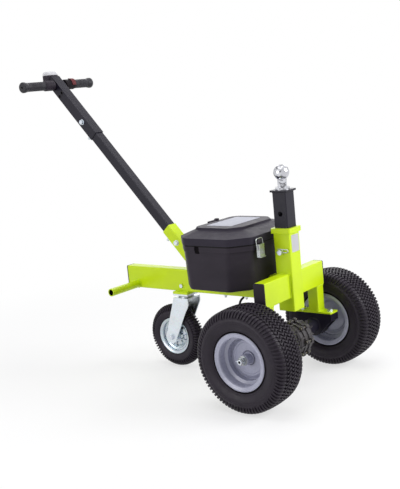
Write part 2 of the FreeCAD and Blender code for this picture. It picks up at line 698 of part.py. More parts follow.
def caster_tyre():
    half = CASTER_TYRE_WIDTH / 2
    r = CASTER_OD / 2
    seat = CASTER_FLANGE_OD / 2 - 8
    lip = CASTER_FLANGE_OD / 2 + 1
    rim_half = CASTER_RIM_WIDTH / 2 - 3

    def at(y, radius):
        return V(CASTER_AXLE_X, y, CASTER_AXLE_Z + radius)
    edges = [Part.makeLine(at(-rim_half, seat), at(rim_half, seat)),
             Part.makeLine(at(rim_half, seat), at(rim_half, lip)),
             Part.Arc(at(rim_half, lip), at(half, lip + 18), at(half - 4, r - 10)).toShape(),
             Part.Arc(at(half - 4, r - 10), at(0, r), at(4 - half, r - 10)).toShape(),
             Part.Arc(at(4 - half, r - 10), at(-half, lip + 18), at(-rim_half, lip)).toShape(),
             Part.makeLine(at(-rim_half, lip), at(-rim_half, seat))]
    return Part.Face(Part.Wire(edges)).revolve(V(CASTER_AXLE_X, 0, CASTER_AXLE_Z), Y_AXIS, 360)


def caster_rim():
    h = CASTER_RIM_WIDTH / 2
    lip = CASTER_FLANGE_OD / 2
    seat = lip - 8.1
    hub_half = FORK_GAP / 2 - 1
    bore = CASTER_AXLE_OD / 2 + RUNNING_GAP
    barrel = [(-h, lip), (-h + 2.5, lip), (-h + 3, seat), (h - 3, seat), (h - 2.5, lip), (h, lip),
              (h, lip - 3), (h - 2, seat - 2.5), (-h + 2, seat - 2.5), (-h, lip - 3)]
    disc = [(-3, seat - 2.5), (3, seat - 2.5), (3, 44), (9, 36), (9, CASTER_HUB_OD / 2),
            (-9, CASTER_HUB_OD / 2), (-9, 36), (-3, 44)]
    hub = [(-hub_half, bore), (hub_half, bore), (hub_half, 11), (14, CASTER_HUB_OD / 2),
           (-14, CASTER_HUB_OD / 2), (-hub_half, 11)]
    parts = [revolve_y(outline, CASTER_AXLE_X, CASTER_AXLE_Z, 0) for outline in (barrel, disc, hub)]
    return fuse(parts)


# ---------------------------------------------------------------- ball post and hitch pin
def ball_post_tube():
    tube = tube_along(V(FRAME_X, 0, 0), UPRIGHT, POST_SIZE, POST_SIZE,
                      MAST_TOP - POST_INSERT, POST_TOP, POST_WALL, TUBE_RADIUS - 1)
    for step in range(3):
        z = HITCH_PIN_Z + step * POST_HOLE_PITCH
        tube = tube.cut(rod_y(FRAME_X, z, -POST_SIZE, POST_SIZE, HITCH_PIN_OD / 2 + SEAT_GAP))
    return tube


def ball_post_plate():
    return bar_along(V(FRAME_X, 0, 0), UPRIGHT, POST_PLATE_SIZE, POST_PLATE_SIZE,
                     POST_TOP, POST_PLATE_TOP, TUBE_RADIUS)


def tow_ball():
    flange = rod_z(FRAME_X, 0, POST_PLATE_TOP, POST_PLATE_TOP + BALL_FLANGE_THICK, BALL_FLANGE_OD / 2)
    centre_z = POST_PLATE_TOP + BALL_RISE
    neck = rod_z(FRAME_X, 0, POST_PLATE_TOP, centre_z, BALL_NECK_OD / 2)
    ball = Part.makeSphere(BALL_OD / 2, V(FRAME_X, 0, centre_z))
    flat = rod_z(FRAME_X, 0, centre_z + BALL_OD / 2 - 1.5, centre_z + BALL_OD, BALL_OD)
    return fuse([flange, neck, ball.cut(flat)])


def hitch_pin():
    reach = MAST_SIZE / 2
    shaft = rod_y(FRAME_X, HITCH_PIN_Z, -reach - 18, reach + 12, HITCH_PIN_OD / 2)
    head = rod_y(FRAME_X, HITCH_PIN_Z, reach + SEAT_GAP, reach + 8, HITCH_PIN_OD / 2 + 5)
    clip_hole = rod(V(FRAME_X - 20, -reach - 11, HITCH_PIN_Z), X_AXIS, 40, 2.6)
    return fuse([shaft, head]).cut(clip_hole)


def hitch_pin_clip():
    """Spring clip: one straight leg through the pin, one leg over it, joined by a loop."""
    y = -MAST_SIZE / 2 - 11
    wire = 1.6
    leg = rod(V(FRAME_X - 16, y, HITCH_PIN_Z), X_AXIS, 40, wire)
    over = HITCH_PIN_Z + HITCH_PIN_OD / 2 + wire + SEAT_GAP
    upper = rod(V(FRAME_X - 10, y, over), X_AXIS, 34, wire)
    loop_radius = (over - HITCH_PIN_Z) / 2
    ring = Part.makeTorus(loop_radius, wire, V(FRAME_X + 24, y, HITCH_PIN_Z + loop_radius), Y_AXIS)
    half = box(FRAME_X + 24, FRAME_X + 60, y - 5, y + 5, HITCH_PIN_Z - 10, over + 10)
    return fuse([leg, upper, ring.common(half)])


# ---------------------------------------------------------------- handle
def along_handle(distance, front=0.0, y=0.0):
    return HANDLE_FOOT + HANDLE_DIR * distance + HANDLE_FRONT * front + V(0, y, 0)


def handle_tube(size, wall, start, end):
    return tube_along(HANDLE_FOOT, HANDLE_TILT, size, size, start, end, wall, TUBE_RADIUS - 1.5)


def handle_socket():
    """Square tube on the beam, its foot trimmed level with the beam's top."""
    tube = handle_tube(SOCKET_SIZE, SOCKET_WALL, -60, SOCKET_END)
    return tube.common(box(-1000, 0, -100, 100, BEAM_TOP, 1000))


def handle_lower_tube():
    return handle_tube(LOWER_SIZE, LOWER_WALL, LOWER_START, LOWER_END)


def clamp_bolts(centre_side, centre_back, size):
    """One bolt on the right face and one on the rear face of a square tube."""
    half = size / 2
    bolts = []
    side = along_handle(centre_side, 0, -half)
    back = along_handle(centre_back, -half, 0)
    for base, axis in ((side, Y_AXIS * -1), (back, HANDLE_FRONT * -1)):
        washer = rod(base, axis, 1.5, CLAMP_BOLT_OD)
        head = hex_head(base + axis * 1.5, axis, 15, 7)
        bolts.append(fuse([washer, head]))
    back_axis = HANDLE_FRONT * -1
    bolts[1] = bolts[1].fuse(rod(back + back_axis * 8, back_axis, 12, CLAMP_BOLT_OD / 2))
    return compound(bolts)


def socket_bolts():
    return clamp_bolts(128, 170, SOCKET_SIZE)


def upper_bolts():
    return clamp_bolts(726, 676, UPPER_SIZE)


def handle_upper_tube():
    tube = handle_tube(UPPER_SIZE, UPPER_WALL, UPPER_START, UPPER_END)
    bar = along_handle(BAR_ALONG)
    tube = tube.cut(rod_y(bar.x, bar.z, -40, 40, BAR_OD / 2 + SEAT_GAP))
    for front in (-9.5, 9.5):
        hole = along_handle(872, front)
        tube = tube.cut(rod_y(hole.x, hole.z, -40, 0, 3.5))
    return tube


def handlebar():
    bar = along_handle(BAR_ALONG)
    return ring_y(bar.x, bar.z, -BAR_LENGTH / 2, BAR_LENGTH / 2, BAR_OD / 2, BAR_OD / 2 - 2)


def grip(start, side):
    """Ribbed sleeve with a flared, closed end."""
    bar = along_handle(BAR_ALONG)
    bore = BAR_OD / 2 + 0.1
    r = GRIP_OD / 2
    flare = GRIP_FLARE_OD / 2
    outline = [(start, bore), (start, r), (GRIP_END - 26, r), (GRIP_END - 12, flare),
               (GRIP_END - 4, flare), (GRIP_END, flare - 5), (GRIP_END, 0.001),
               (BAR_LENGTH / 2 + 0.3, 0.001), (BAR_LENGTH / 2 + 0.3, bore)]
    return revolve_y([(side * y, q) for y, q in outline], bar.x, bar.z, 0)


def sleeve(start, end, side):
    bar = along_handle(BAR_ALONG)
    bore = BAR_OD / 2 + 0.1
    r = SLEEVE_OD / 2
    outline = [(start, bore), (start, r - 2), (start + 3, r), (end - 6, r), (end, r - 3), (end, bore)]
    return revolve_y([(side * y, q) for y, q in outline], bar.x, bar.z, 0)


def switch_button():
    """Red thumb switch wrapped over the front and top of the left sleeve."""
    bar = along_handle(BAR_ALONG)
    y0, y1 = LEFT_GRIP_START - 23, LEFT_GRIP_START - 5
    ring = ring_y(bar.x, bar.z, y0, y1, SLEEVE_OD / 2 + 3, SLEEVE_OD / 2)
    reach = SLEEVE_OD
    window = prism_xz([(bar.x, bar.z), (bar.x + reach, bar.z - 6), (bar.x + reach, bar.z + reach),
                       (bar.x - 4, bar.z + reach)], y0 - 1, y1 + 1)
    return ring.common(window)


def control_head():
    """Round housing behind the top of the upper tube, cut to sit against it."""
    bar = along_handle(BAR_ALONG)
    centre_x = bar.x - HEAD_BEHIND
    drum = rod_z(centre_x, 0, HEAD_BOTTOM, HEAD_TOP, HEAD_OD / 2)
    tube = bar_along(HANDLE_FOOT, HANDLE_TILT, UPPER_SIZE, UPPER_SIZE, UPPER_START,
                     UPPER_END, TUBE_RADIUS - 1.5)
    handle = rod_y(bar.x, bar.z, -60, 60, SLEEVE_OD / 2 + SEAT_GAP)
    pieces = drum.cut(tube).cut(handle).Solids
    return max(pieces, key=lambda piece: piece.Volume)


def control_head_cap():
    """Cap with a broad round to its top."""
    bar = along_handle(BAR_ALONG)
    cap = rod_z(bar.x - HEAD_BEHIND, 0, HEAD_TOP, HEAD_TOP + HEAD_CAP_THICK, HEAD_OD / 2 - 1)
    return cap.makeFillet(HEAD_CAP_ROUND, [e for e in cap.Edges if e.BoundBox.ZMin > HEAD_TOP + 1])


# ---------------------------------------------------------------- battery box
def saddle(clearance, top):
    half = BEAM_WIDTH / 2 + clearance
    return box(BOX_REAR - 50, BOX_FRONT + 50, -half, half, BOX_BOTTOM - 20, top)


def base_body(wall=0.0):
    """Tub that narrows downwards to a rounded foot; with a wall, the hollow inside it."""
    foot_z = BOX_BOTTOM + wall
    inset = BOX_LIP + BAND_THICK
    foot = octagon(BOX_TAPER_REAR, BOX_TAPER_FRONT, BOX_TAPER_SIDE, foot_z, wall=wall)
    rim = octagon(inset, inset, inset, BOX_SEAM, wall=wall)
    body = loft([foot, rim])
    return body.makeFillet(BOX_FOOT_RADIUS - wall, [e for e in body.Edges if e.BoundBox.ZMax < foot_z + 1])


def base_outside():
    """Tub and the band round its rim."""
    band = [octagon(BOX_LIP, BOX_LIP, BOX_LIP, z) for z in (BOX_SEAM - BAND_HEIGHT, BOX_SEAM)]
    return base_body().fuse(loft(band))


def box_bolt_places():
    return [BOX_BOLT_X - BOX_BOLT_PITCH / 2, BOX_BOLT_X + BOX_BOLT_PITCH / 2]


def battery_box_base():
    """Moulded tub that straddles the beam."""
    w = BOX_WALL
    channel_top = BEAM_TOP + SEAT_GAP
    hollow = base_body(w).cut(saddle(SADDLE_GAP + w, channel_top + w))
    body = base_outside().cut(hollow).cut(saddle(SADDLE_GAP, channel_top))
    for x in box_bolt_places():
        body = body.cut(rod_z(x, 0, channel_top - 1, channel_top + w + 1, BOX_BOLT_OD / 2))
    face = BOX_WIDTH / 2 - BOX_LIP
    pocket = box(POCKET_X - POCKET_WIDTH / 2, POCKET_X + POCKET_WIDTH / 2, face - POCKET_DEPTH, face + 1,
                 BOX_SEAM - 27, BOX_SEAM - 2)
    return body.cut(pocket).cut(mirror_y(pocket))


def box_bolts():
    """Bolts from inside the box down through the beam, nuts below."""
    bolts = []
    roof = BEAM_TOP + SEAT_GAP + BOX_WALL
    for x in box_bolt_places():
        shank = rod_z(x, 0, BEAM_BOTTOM - 13, roof + 1, BOX_BOLT_OD / 2 - RUNNING_GAP)
        bolts.append(fuse([shank, hex_head(V(x, 0, roof), Z_AXIS, 13, 5.5),
                           hex_head(V(x, 0, BEAM_BOTTOM - 7), Z_AXIS, 13, 7)]))
    return compound(bolts)


def hinge_knuckle(y0, y1, bore, leaf):
    knuckle = rod_y(LID_PIVOT_X, LID_PIVOT_Z, y0, y1, HINGE_KNUCKLE_OD / 2).fuse(leaf)
    return knuckle.cut(rod_y(LID_PIVOT_X, LID_PIVOT_Z, y0 - 1, y1 + 1, bore))


def lid_hinge_ears():
    """Two moulded ears on the back of the base that carry the pin."""
    wall_x = BOX_REAR + BOX_LIP
    gap = SEAT_GAP + 0.2
    ears = []
    for y0, y1 in ((-HINGE_HALF, -LID_KNUCKLE_HALF - gap), (LID_KNUCKLE_HALF + gap, HINGE_HALF)):
        leaf = box(LID_PIVOT_X - 5, wall_x + 4, y0, y1, BOX_SEAM - 24, LID_PIVOT_Z - 3)
        ear = hinge_knuckle(y0, y1, HINGE_PIN_OD / 2, leaf)
        ears.append(ear.cut(box(wall_x - 2.5, 0, y0 - 1, y1 + 1, BOX_SEAM - 1, 600)).cut(base_outside()))
    return compound(ears)


def lid_hinge_pin():
    return rod_y(LID_PIVOT_X, LID_PIVOT_Z, -HINGE_HALF - 2, HINGE_HALF + 2, HINGE_PIN_OD / 2)


def lid_body(wall=0.0):
    """Lid from its rim up to a raised flat top; with a wall, the hollow inside it."""
    low = BOX_SEAM - 1 if wall else BOX_SEAM + SEAT_GAP
    step_z = LID_TOP - LID_STEP - wall
    return loft([octagon(0.5, 0.5, 0.5, low, wall=wall),
                 octagon(0, 0, 0, LID_RIM_TOP - 0.65 * wall, wall=wall),
                 octagon(LID_INSET_REAR - 3, LID_INSET_FRONT - 3, LID_INSET_SIDE - 3, step_z,
                         LID_CHAMFERS, wall),
                 octagon(LID_INSET_REAR, LID_INSET_FRONT, LID_INSET_SIDE, LID_TOP - wall,
                         LID_CHAMFERS, wall)])


def battery_box_lid():
    shell = lid_body().cut(lid_body(BOX_WALL))
    leaf = box(LID_PIVOT_X, BOX_REAR + 2, -LID_KNUCKLE_HALF, LID_KNUCKLE_HALF, LID_PIVOT_Z + 1, LID_PIVOT_Z + 14)
    knuckle = hinge_knuckle(-LID_KNUCKLE_HALF, LID_KNUCKLE_HALF, HINGE_PIN_OD / 2 + RUNNING_GAP, leaf)
    return shell.fuse(knuckle).removeSplitter()


def lid_handle():
    """Moulded grip across the back of the lid's flat top, with a thicker left end."""
    x = BOX_REAR + LID_INSET_REAR - 3
    top = LID_TOP - 3
    parts = []
    for reach, y0, rise in ((4, -26, 7), (6, 14, 10)):
        block = box(x - reach, x + reach, y0, 26, LID_RIM_TOP, top + rise)
        parts.append(block.makeFillet(2.5, [e for e in block.Edges if e.BoundBox.ZMin > top]))
    return fuse(parts).cut(lid_body())


def batteries():
    length, width, height = BATTERY_SIZE
    x_mid = (BOX_REAR + BOX_TAPER_REAR + BOX_FRONT - BOX_TAPER_FRONT) / 2
    y0 = BOX_WIDTH / 2 - BOX_SIDE + SADDLE_GAP + BOX_WALL + 1
    block = box(x_mid - length / 2, x_mid + length / 2, y0, y0 + width,
                BOX_BOTTOM + BOX_WALL, BOX_BOTTOM + BOX_WALL + height)
    return left_and_right(block)


def latch_brackets():
    """Blocks on the front of the lid's rim that hold the latch loops."""
    half = LATCH_WIDTH / 2
    block = box(BOX_FRONT - 2, BOX_FRONT + 9, LATCH_Y - half, LATCH_Y + half,
                LATCH_HOOK_Z - 12, LATCH_HOOK_Z)
    return left_and_right(block.cut(lid_body()))


def latch_loop(wire):
    """Wire loop from inside the lever, round the bracket's top and back."""
    foot_x = BOX_FRONT - BOX_LIP + LATCH_STANDOFF + LATCH_DEPTH / 2
    foot_z = BOX_SEAM - 20
    top_z = LATCH_HOOK_Z + SEAT_GAP + wire
    points = [V(foot_x, 1 - LATCH_WIDTH / 2, foot_z), V(foot_x, -LATCH_LOOP_HALF, foot_z),
              V(BOX_FRONT + 6, -LATCH_LOOP_HALF, top_z)]
    points += [V(p.x, -p.y, p.z) for p in reversed(points)]
    section = Part.Wire(Part.makeCircle(wire, points[0], Y_AXIS))
    return bent_route(points, 6.0).makePipeShell([section], True, True)


def front_latches():
    """Folded sheet levers on wire loops hung from the lid, in front of the base's rim."""
    back = BOX_FRONT - BOX_LIP + LATCH_STANDOFF
    front = back + LATCH_DEPTH
    low, high = BOX_SEAM - 44, BOX_SEAM - 2
    half = LATCH_WIDTH / 2
    lever = box(back, front, -half, half, low, high)
    lever = lever.cut(box(back - 1, front - 2, 2 - half, half - 2, low - 1, high + 1))
    lever = lever.fuse(box(front - 2, front + 4, -half, half, low, low + 2))
    latch = lever.fuse(latch_loop(1.4))
    latch.translate(V(0, LATCH_Y, 0))
    return left_and_right(latch)


# ---------------------------------------------------------------- all nodes
def all_nodes():
    left, right = TRACK / 2, -TRACK / 2
    nodes = {
        "main_beam": main_beam(),
        "beam_side_bolt": beam_side_bolt(),
        "beam_end_cap": beam_end_cap(),
        "cross_arms": cross_arms(),
        "cross_arm_end_caps": cross_arm_end_caps(),
        "mast": mast(),
        "mast_collar": mast_collar(),
        "rear_side_pipe": rear_side_pipe(),
        "axle_legs": axle_legs(),
        "axle_plates": axle_plates(),
        "axle_brackets": axle_brackets(),
        "axle_bolts": axle_bolts(),
        "axle_housing": axle_housing(),
        "gear_case": gear_case(),
        "gear_case_bolts": gear_case_bolts(),
        "drive_motor": drive_motor(),
        "motor_cable": motor_cable(),
        "left_drive_tyre": drive_tyre(left),
        "right_drive_tyre": drive_tyre(right),
        "left_drive_rim": drive_rim(left, 1),
        "right_drive_rim": drive_rim(right, -1),
        "left_half_shaft": half_shaft(left, 1),
        "right_half_shaft": half_shaft(right, -1),
        "left_castle_nut": castle_nut(left, 1),
        "right_castle_nut": castle_nut(right, -1),
        "caster_mount_plate": caster_mount_plate(),
        "caster_top_plate": caster_top_plate(),
        "caster_race": caster_race(),
        "caster_fork": caster_fork(),
        "caster_axle": caster_axle(),
        "caster_tyre": caster_tyre(),
        "caster_rim": caster_rim(),
        "ball_post_tube": ball_post_tube(),
        "ball_post_plate": ball_post_plate(),
        "tow_ball": tow_ball(),
        "hitch_pin": hitch_pin(),
        "hitch_pin_clip": hitch_pin_clip(),
        "handle_socket": handle_socket(),
        "handle_lower_tube": handle_lower_tube(),
        "socket_bolts": socket_bolts(),
        "handle_upper_tube": handle_upper_tube(),
        "upper_bolts": upper_bolts(),
        "handlebar": handlebar(),
        "right_grip": grip(RIGHT_GRIP_START, -1),
        "left_grip": grip(LEFT_GRIP_START, 1),
        "throttle_sleeve": sleeve(SLEEVE_START, RIGHT_GRIP_START - SEAT_GAP, -1),
        "switch_sleeve": sleeve(SLEEVE_START + 10, LEFT_GRIP_START - SEAT_GAP, 1),
        "switch_button": switch_button(),
        "control_head": control_head(),
        "control_head_cap": control_head_cap(),
        "battery_box_base": battery_box_base(),
        "box_bolts": box_bolts(),
        "lid_hinge_ears": lid_hinge_ears(),
        "lid_hinge_pin": lid_hinge_pin(),
        "battery_box_lid": battery_box_lid(),
        "lid_handle": lid_handle(),
        "batteries": batteries(),
        "latch_brackets": latch_brackets(),
        "front_latches": front_latches(),
    }
    return nodes


os.makedirs("parts", exist_ok=True)
for name, shape in all_nodes().items():
    shape.translate(V(AXLE_AHEAD, 0, 0))
    shape.exportStep("parts/" + name + ".step")
    print(name, len(shape.Solids), round(shape.Volume), shape.isValid())
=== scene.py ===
import json
import math

import bpy
from mathutils import Matrix, Vector

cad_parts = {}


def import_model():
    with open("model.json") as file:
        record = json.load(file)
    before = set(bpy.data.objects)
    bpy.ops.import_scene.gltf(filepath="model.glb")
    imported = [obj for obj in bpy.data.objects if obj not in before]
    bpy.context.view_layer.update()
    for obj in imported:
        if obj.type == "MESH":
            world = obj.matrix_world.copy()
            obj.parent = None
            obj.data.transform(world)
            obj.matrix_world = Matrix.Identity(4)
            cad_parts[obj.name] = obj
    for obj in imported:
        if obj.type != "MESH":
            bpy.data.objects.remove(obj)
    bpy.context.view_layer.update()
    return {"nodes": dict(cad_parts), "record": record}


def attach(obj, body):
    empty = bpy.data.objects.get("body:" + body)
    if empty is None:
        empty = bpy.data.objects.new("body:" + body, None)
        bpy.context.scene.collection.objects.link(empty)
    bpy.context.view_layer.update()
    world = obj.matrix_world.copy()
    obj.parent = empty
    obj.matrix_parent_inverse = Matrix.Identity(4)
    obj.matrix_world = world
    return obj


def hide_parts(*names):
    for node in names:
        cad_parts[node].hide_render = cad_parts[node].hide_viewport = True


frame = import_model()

# Electric trailer dolly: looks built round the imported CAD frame. Points and lengths of the pieces
# are millimetres, x forward from the drive axle and z up from the floor; place() turns a point
# into the row frame in metres. Materials, camera and lamps are in metres.

MM = 0.001
TAU = 2 * math.pi
X, Y, Z = Vector((1, 0, 0)), Vector((0, 1, 0)), Vector((0, 0, 1))
SIDES = ((1, "left"), (-1, "right"))      # sign of y, and what it is called

AXLE_AHEAD = 434.0            # drive axle ahead of the row frame's origin
AXLE_Z = 165.0
DRIVE_AXLE = (0.0, AXLE_Z)    # x and z, as for the caster
CASTER_AXLE = (-501.0, 115.0)
WHEEL_Y = 250.0
HUB_OUTREACH = 28.0           # hub end outboard of the wheel's middle, then washer, nut and thread
HUB_WASHER = 3.0
NUT_HEIGHT = 14.0
STUB_END = 4.0
CASE_Z = 152.0
MOTOR_Z = 172.0
MAST_X, MAST_HALF = 4.0, 30.0
TUBE_HALF = 20.0              # half the width of beam, arms, legs and upper handle tube
TUBE_TALL_HALF = 40.0         # half the height of beam and arms
TUBE_CORNER = 4.0
LEG_Y = 148.0
PIPE_X, PIPE_Z, PIPE_R = -651.0, 300.0, 14.0
LID_TOP = 536.0
BOX_SEAM_M = 0.488            # metres, for the material of the box
HANDLE_LEAN = math.radians(42.3)
HANDLE_AXIS = Vector((-math.sin(HANDLE_LEAN), 0.0, math.cos(HANDLE_LEAN)))
HANDLE_FRONT = Vector((math.cos(HANDLE_LEAN), 0.0, math.sin(HANDLE_LEAN)))
HANDLE_FOOT = Vector((-358.0, 0.0, 365.0))
BAR = HANDLE_FOOT + HANDLE_AXIS * 922.0
GROMMETS = HANDLE_FOOT + HANDLE_AXIS * 872.0


def place(x, y, z):
    return Vector(((x + AXLE_AHEAD) * MM, y * MM, z * MM))


# ------------------------------------------------------------------ materials
def fill(node, **values):
    """Sets inputs of a node to constants; an underscore in a name stands for a space."""
    for name, value in values.items():
        node.inputs[name.replace("_", " ")].default_value = value
    return node


class Nodes:
    """Short names for building the node tree of a material or a world."""

    def __init__(self, owner):
        owner.use_nodes = True
        self.tree = owner.node_tree
        self.tree.nodes.clear()

    def new(self, kind, **settings):
        node = self.tree.nodes.new(kind)
        for key, value in settings.items():
            setattr(node, key, value)
        return node

    def join(self, a, b):
        self.tree.links.new(a, b)

    def feed(self, socket, value):
        """Links another node's output to a socket, or sets it to a number or a colour."""
        if isinstance(value, bpy.types.NodeSocket):
            self.join(value, socket)
        else:
            socket.default_value = (*value, 1.0) if isinstance(value, tuple) else value

    def math(self, kind, a, b):
        node = self.new("ShaderNodeMath", operation=kind)
        self.feed(node.inputs[0], a)
        self.feed(node.inputs[1], b)
        return node.outputs[0]

    def blend(self, amount, first, second):
        """Mix of two shaders."""
        node = self.new("ShaderNodeMixShader")
        for socket, value in zip(node.inputs, (amount, first, second)):
            self.join(value, socket)
        return node.outputs[0]

    def seen(self):
        """1 for the rays that show a background: camera, glossy and transmission."""
        path = self.new("ShaderNodeLightPath").outputs
        either = self.math("MAXIMUM", path["Is Camera Ray"], path["Is Glossy Ray"])
        return self.math("MAXIMUM", either, path["Is Transmission Ray"])


class Surface(Nodes):
    """One material: a Principled shader fed by patterns over object space."""

    def __init__(self, name):
        self.material = bpy.data.materials.new(name)
        super().__init__(self.material)
        self.bsdf = self.new("ShaderNodeBsdfPrincipled")
        self.join(self.bsdf.outputs[0], self.new("ShaderNodeOutputMaterial").inputs[0])
        self.coords = self.new("ShaderNodeTexCoord").outputs["Object"]

    def scaled(self, factors):
        mapping = fill(self.new("ShaderNodeMapping"), Scale=factors)
        self.join(self.coords, mapping.inputs["Vector"])
        return mapping.outputs[0]

    def noise(self, scale, detail=3.0, rough=0.55, vector=None, distortion=0.0):
        node = fill(self.new("ShaderNodeTexNoise"), Scale=scale, Detail=detail, Roughness=rough,
                    Distortion=distortion)
        self.join(vector or self.coords, node.inputs["Vector"])
        return node.outputs["Fac"]

    def cells(self, scale, feature, vector=None, output="Distance"):
        node = fill(self.new("ShaderNodeTexVoronoi", feature=feature), Scale=scale)
        self.join(vector or self.coords, node.inputs["Vector"])
        return node.outputs[output]

    def span(self, value, low, high, to_low=0.0, to_high=1.0):
        node = fill(self.new("ShaderNodeMapRange", clamp=True), From_Min=low, From_Max=high,
                    To_Min=to_low, To_Max=to_high)
        self.join(value, node.inputs["Value"])
        return node.outputs[0]

    def mix(self, amount, a, b, blend="MIX"):
        node = self.new("ShaderNodeMix", data_type="RGBA", blend_type=blend)
        for name, value in (("Factor", amount), ("A", a), ("B", b)):
            self.feed(next(s for s in node.inputs if s.name == name and s.enabled), value)
        return next(s for s in node.outputs if s.enabled)

    def rounded(self, radius):
        return fill(self.new("ShaderNodeBevel", samples=6), Radius=radius).outputs[0]

    def edges(self, radius):
        """1 near an edge, 0 on flat ground, from how far a rounded normal turns."""
        starts, full = 0.015, 0.22
        dot = self.new("ShaderNodeVectorMath", operation="DOT_PRODUCT")
        self.join(self.rounded(radius), dot.inputs[0])
        self.join(self.new("ShaderNodeNewGeometry").outputs["Normal"], dot.inputs[1])
        return self.span(self.math("SUBTRACT", 1.0, dot.outputs["Value"]), starts, full)

    def bump(self, height, distance, strength, normal=None):
        node = fill(self.new("ShaderNodeBump"), Strength=strength, Distance=distance)
        self.join(height, node.inputs["Height"])
        if normal is not None:
            self.join(normal, node.inputs["Normal"])
        return node.outputs[0]

    def finish(self, color, rough, normal, **constants):
        for name, value in (("Base Color", color), ("Roughness", rough), ("Normal", normal)):
            self.join(value, self.bsdf.inputs[name])
        fill(self.bsdf, **constants)
        return self.material


def shade(color, factor):
    return tuple(min(1.0, c * factor) for c in color)


def powder_coat(name, color, rough, edge_color, coat, grain=0.00010, specular=0.35):
    """Sprayed and baked paint: orange peel, faint mottling, hair scratches and paler edges, partly
    rubbed wear and partly a painted highlight.
    """
    n = Surface(name)
    edge = 0.0009
    mottle = n.span(n.noise(9.0, 4.0), 0.30, 0.70)
    base = n.mix(mottle, shade(color, 0.93), shade(color, 1.05))
    dust = n.span(n.noise(38.0, 5.0, 0.65), 0.56, 0.80, 0.0, 0.20)
    base = n.mix(dust, base, tuple(0.85 * c + 0.15 * 0.20 for c in color))
    # Paler edges: partly rubbed wear, partly a painted highlight where rounded edges would catch
    # the light.
    worn_and_lit_edge = n.math("MULTIPLY", n.edges(edge), n.span(n.noise(55.0, 4.0), 0.42, 0.62))
    base = n.mix(worn_and_lit_edge, base, edge_color)
    lines = n.cells(7.0, "DISTANCE_TO_EDGE", n.scaled((1.0, 9.0, 2.2)))
    hairs = n.math("MULTIPLY", n.span(lines, 0.0, 0.006, 1.0, 0.0),
                   n.span(n.noise(14.0), 0.55, 0.66))
    base = n.mix(n.math("MULTIPLY", hairs, 0.35), base, edge_color)
    roughness = n.math("ADD", n.span(n.noise(120.0), 0.3, 0.7, rough - 0.05, rough + 0.06),
                       n.math("MULTIPLY", hairs, 0.12))
    peel = n.math("ADD", n.noise(620.0, 2.0), n.math("MULTIPLY", n.noise(170.0, 2.0), 0.7))
    return n.finish(base, roughness, n.bump(peel, grain, 0.55, n.rounded(edge)),
                    Coat_Weight=coat, Coat_Roughness=0.16, Specular_IOR_Level=specular)


def zinc(name, color=(0.70, 0.73, 0.77), rough=0.30, spangle=0.10):
    """Bright zinc plate: soft spangle, pale and blue drifts, dull spots and fine brush marks."""
    n = Surface(name)
    drift = n.span(n.noise(26.0, 4.0, 0.6), 0.3, 0.7)
    base = n.mix(drift, shade(color, 0.90), (color[0] * 0.97, color[1], color[2] * 1.05))
    base = n.mix(spangle, base, n.cells(210.0, "F1", output="Color"), "SOFT_LIGHT")
    stain = n.span(n.noise(75.0, 5.0, 0.7), 0.60, 0.78, 0.0, 0.35)
    base = n.mix(stain, base, (0.42, 0.42, 0.40))
    roughness = n.math("ADD", n.span(n.noise(300.0), 0.3, 0.7, rough - 0.07, rough + 0.08),
                       n.math("MULTIPLY", stain, 0.4))
    brush = n.noise(260.0, 3.0, 0.6, n.scaled((1.0, 1.0, 7.0)))
    return n.finish(base, roughness, n.bump(brush, 0.00005, 0.5, n.rounded(0.0006)), Metallic=1.0)


def moulded(name, color, rough, sheen=(0.10, 0.10, 0.11), specular=0.28, joint_z=None,
            grain_scale=1500.0, grain=0.00012, edge=0.0012):
    """Injection-moulded plastic: fine spark texture, flow marks, paler edges that are partly rubbed
    wear and partly a painted highlight.

    A painted shadow darkens the strip just under a joint at height joint_z, in metres, where the
    lid's rim shades the tub."""
    n = Surface(name)
    flow = n.span(n.noise(7.0, 4.0, 0.5, n.scaled((1.0, 1.0, 2.6))), 0.3, 0.7)
    base = n.mix(flow, shade(color, 0.86), shade(color, 1.14))
    dust = n.span(n.noise(60.0, 6.0, 0.7), 0.56, 0.84, 0.0, 0.30)
    base = n.mix(dust, base, sheen)
    # Edges mixed towards the sheen colour: partly rubbed wear, partly a painted edge highlight.
    worn_and_lit_edge = n.math("MULTIPLY", n.edges(edge), n.span(n.noise(90.0, 4.0), 0.35, 0.65, 0.15, 0.75))
    base = n.mix(worn_and_lit_edge, base, sheen)
    # Painted shadow: a near-black strip just under the joint, standing for the shade under the
    # lid's rim.
    if joint_z is not None:
        split = n.new("ShaderNodeSeparateXYZ")
        n.join(n.coords, split.inputs[0])
        joint_shade = n.span(split.outputs["Z"], joint_z - 0.0048, joint_z - 0.0030, 0.0, 0.92)
        base = n.mix(joint_shade, base, (0.001, 0.001, 0.001))
    roughness = n.span(n.noise(45.0, 4.0), 0.3, 0.7, rough - 0.06, rough + 0.06)
    pits = n.math("ADD", n.cells(grain_scale, "SMOOTH_F1"),
                  n.math("MULTIPLY", n.noise(grain_scale * 0.5, 2.0), 0.8))
    return n.finish(base, roughness, n.bump(pits, grain, 0.45, n.rounded(edge)),
                    Specular_IOR_Level=specular)


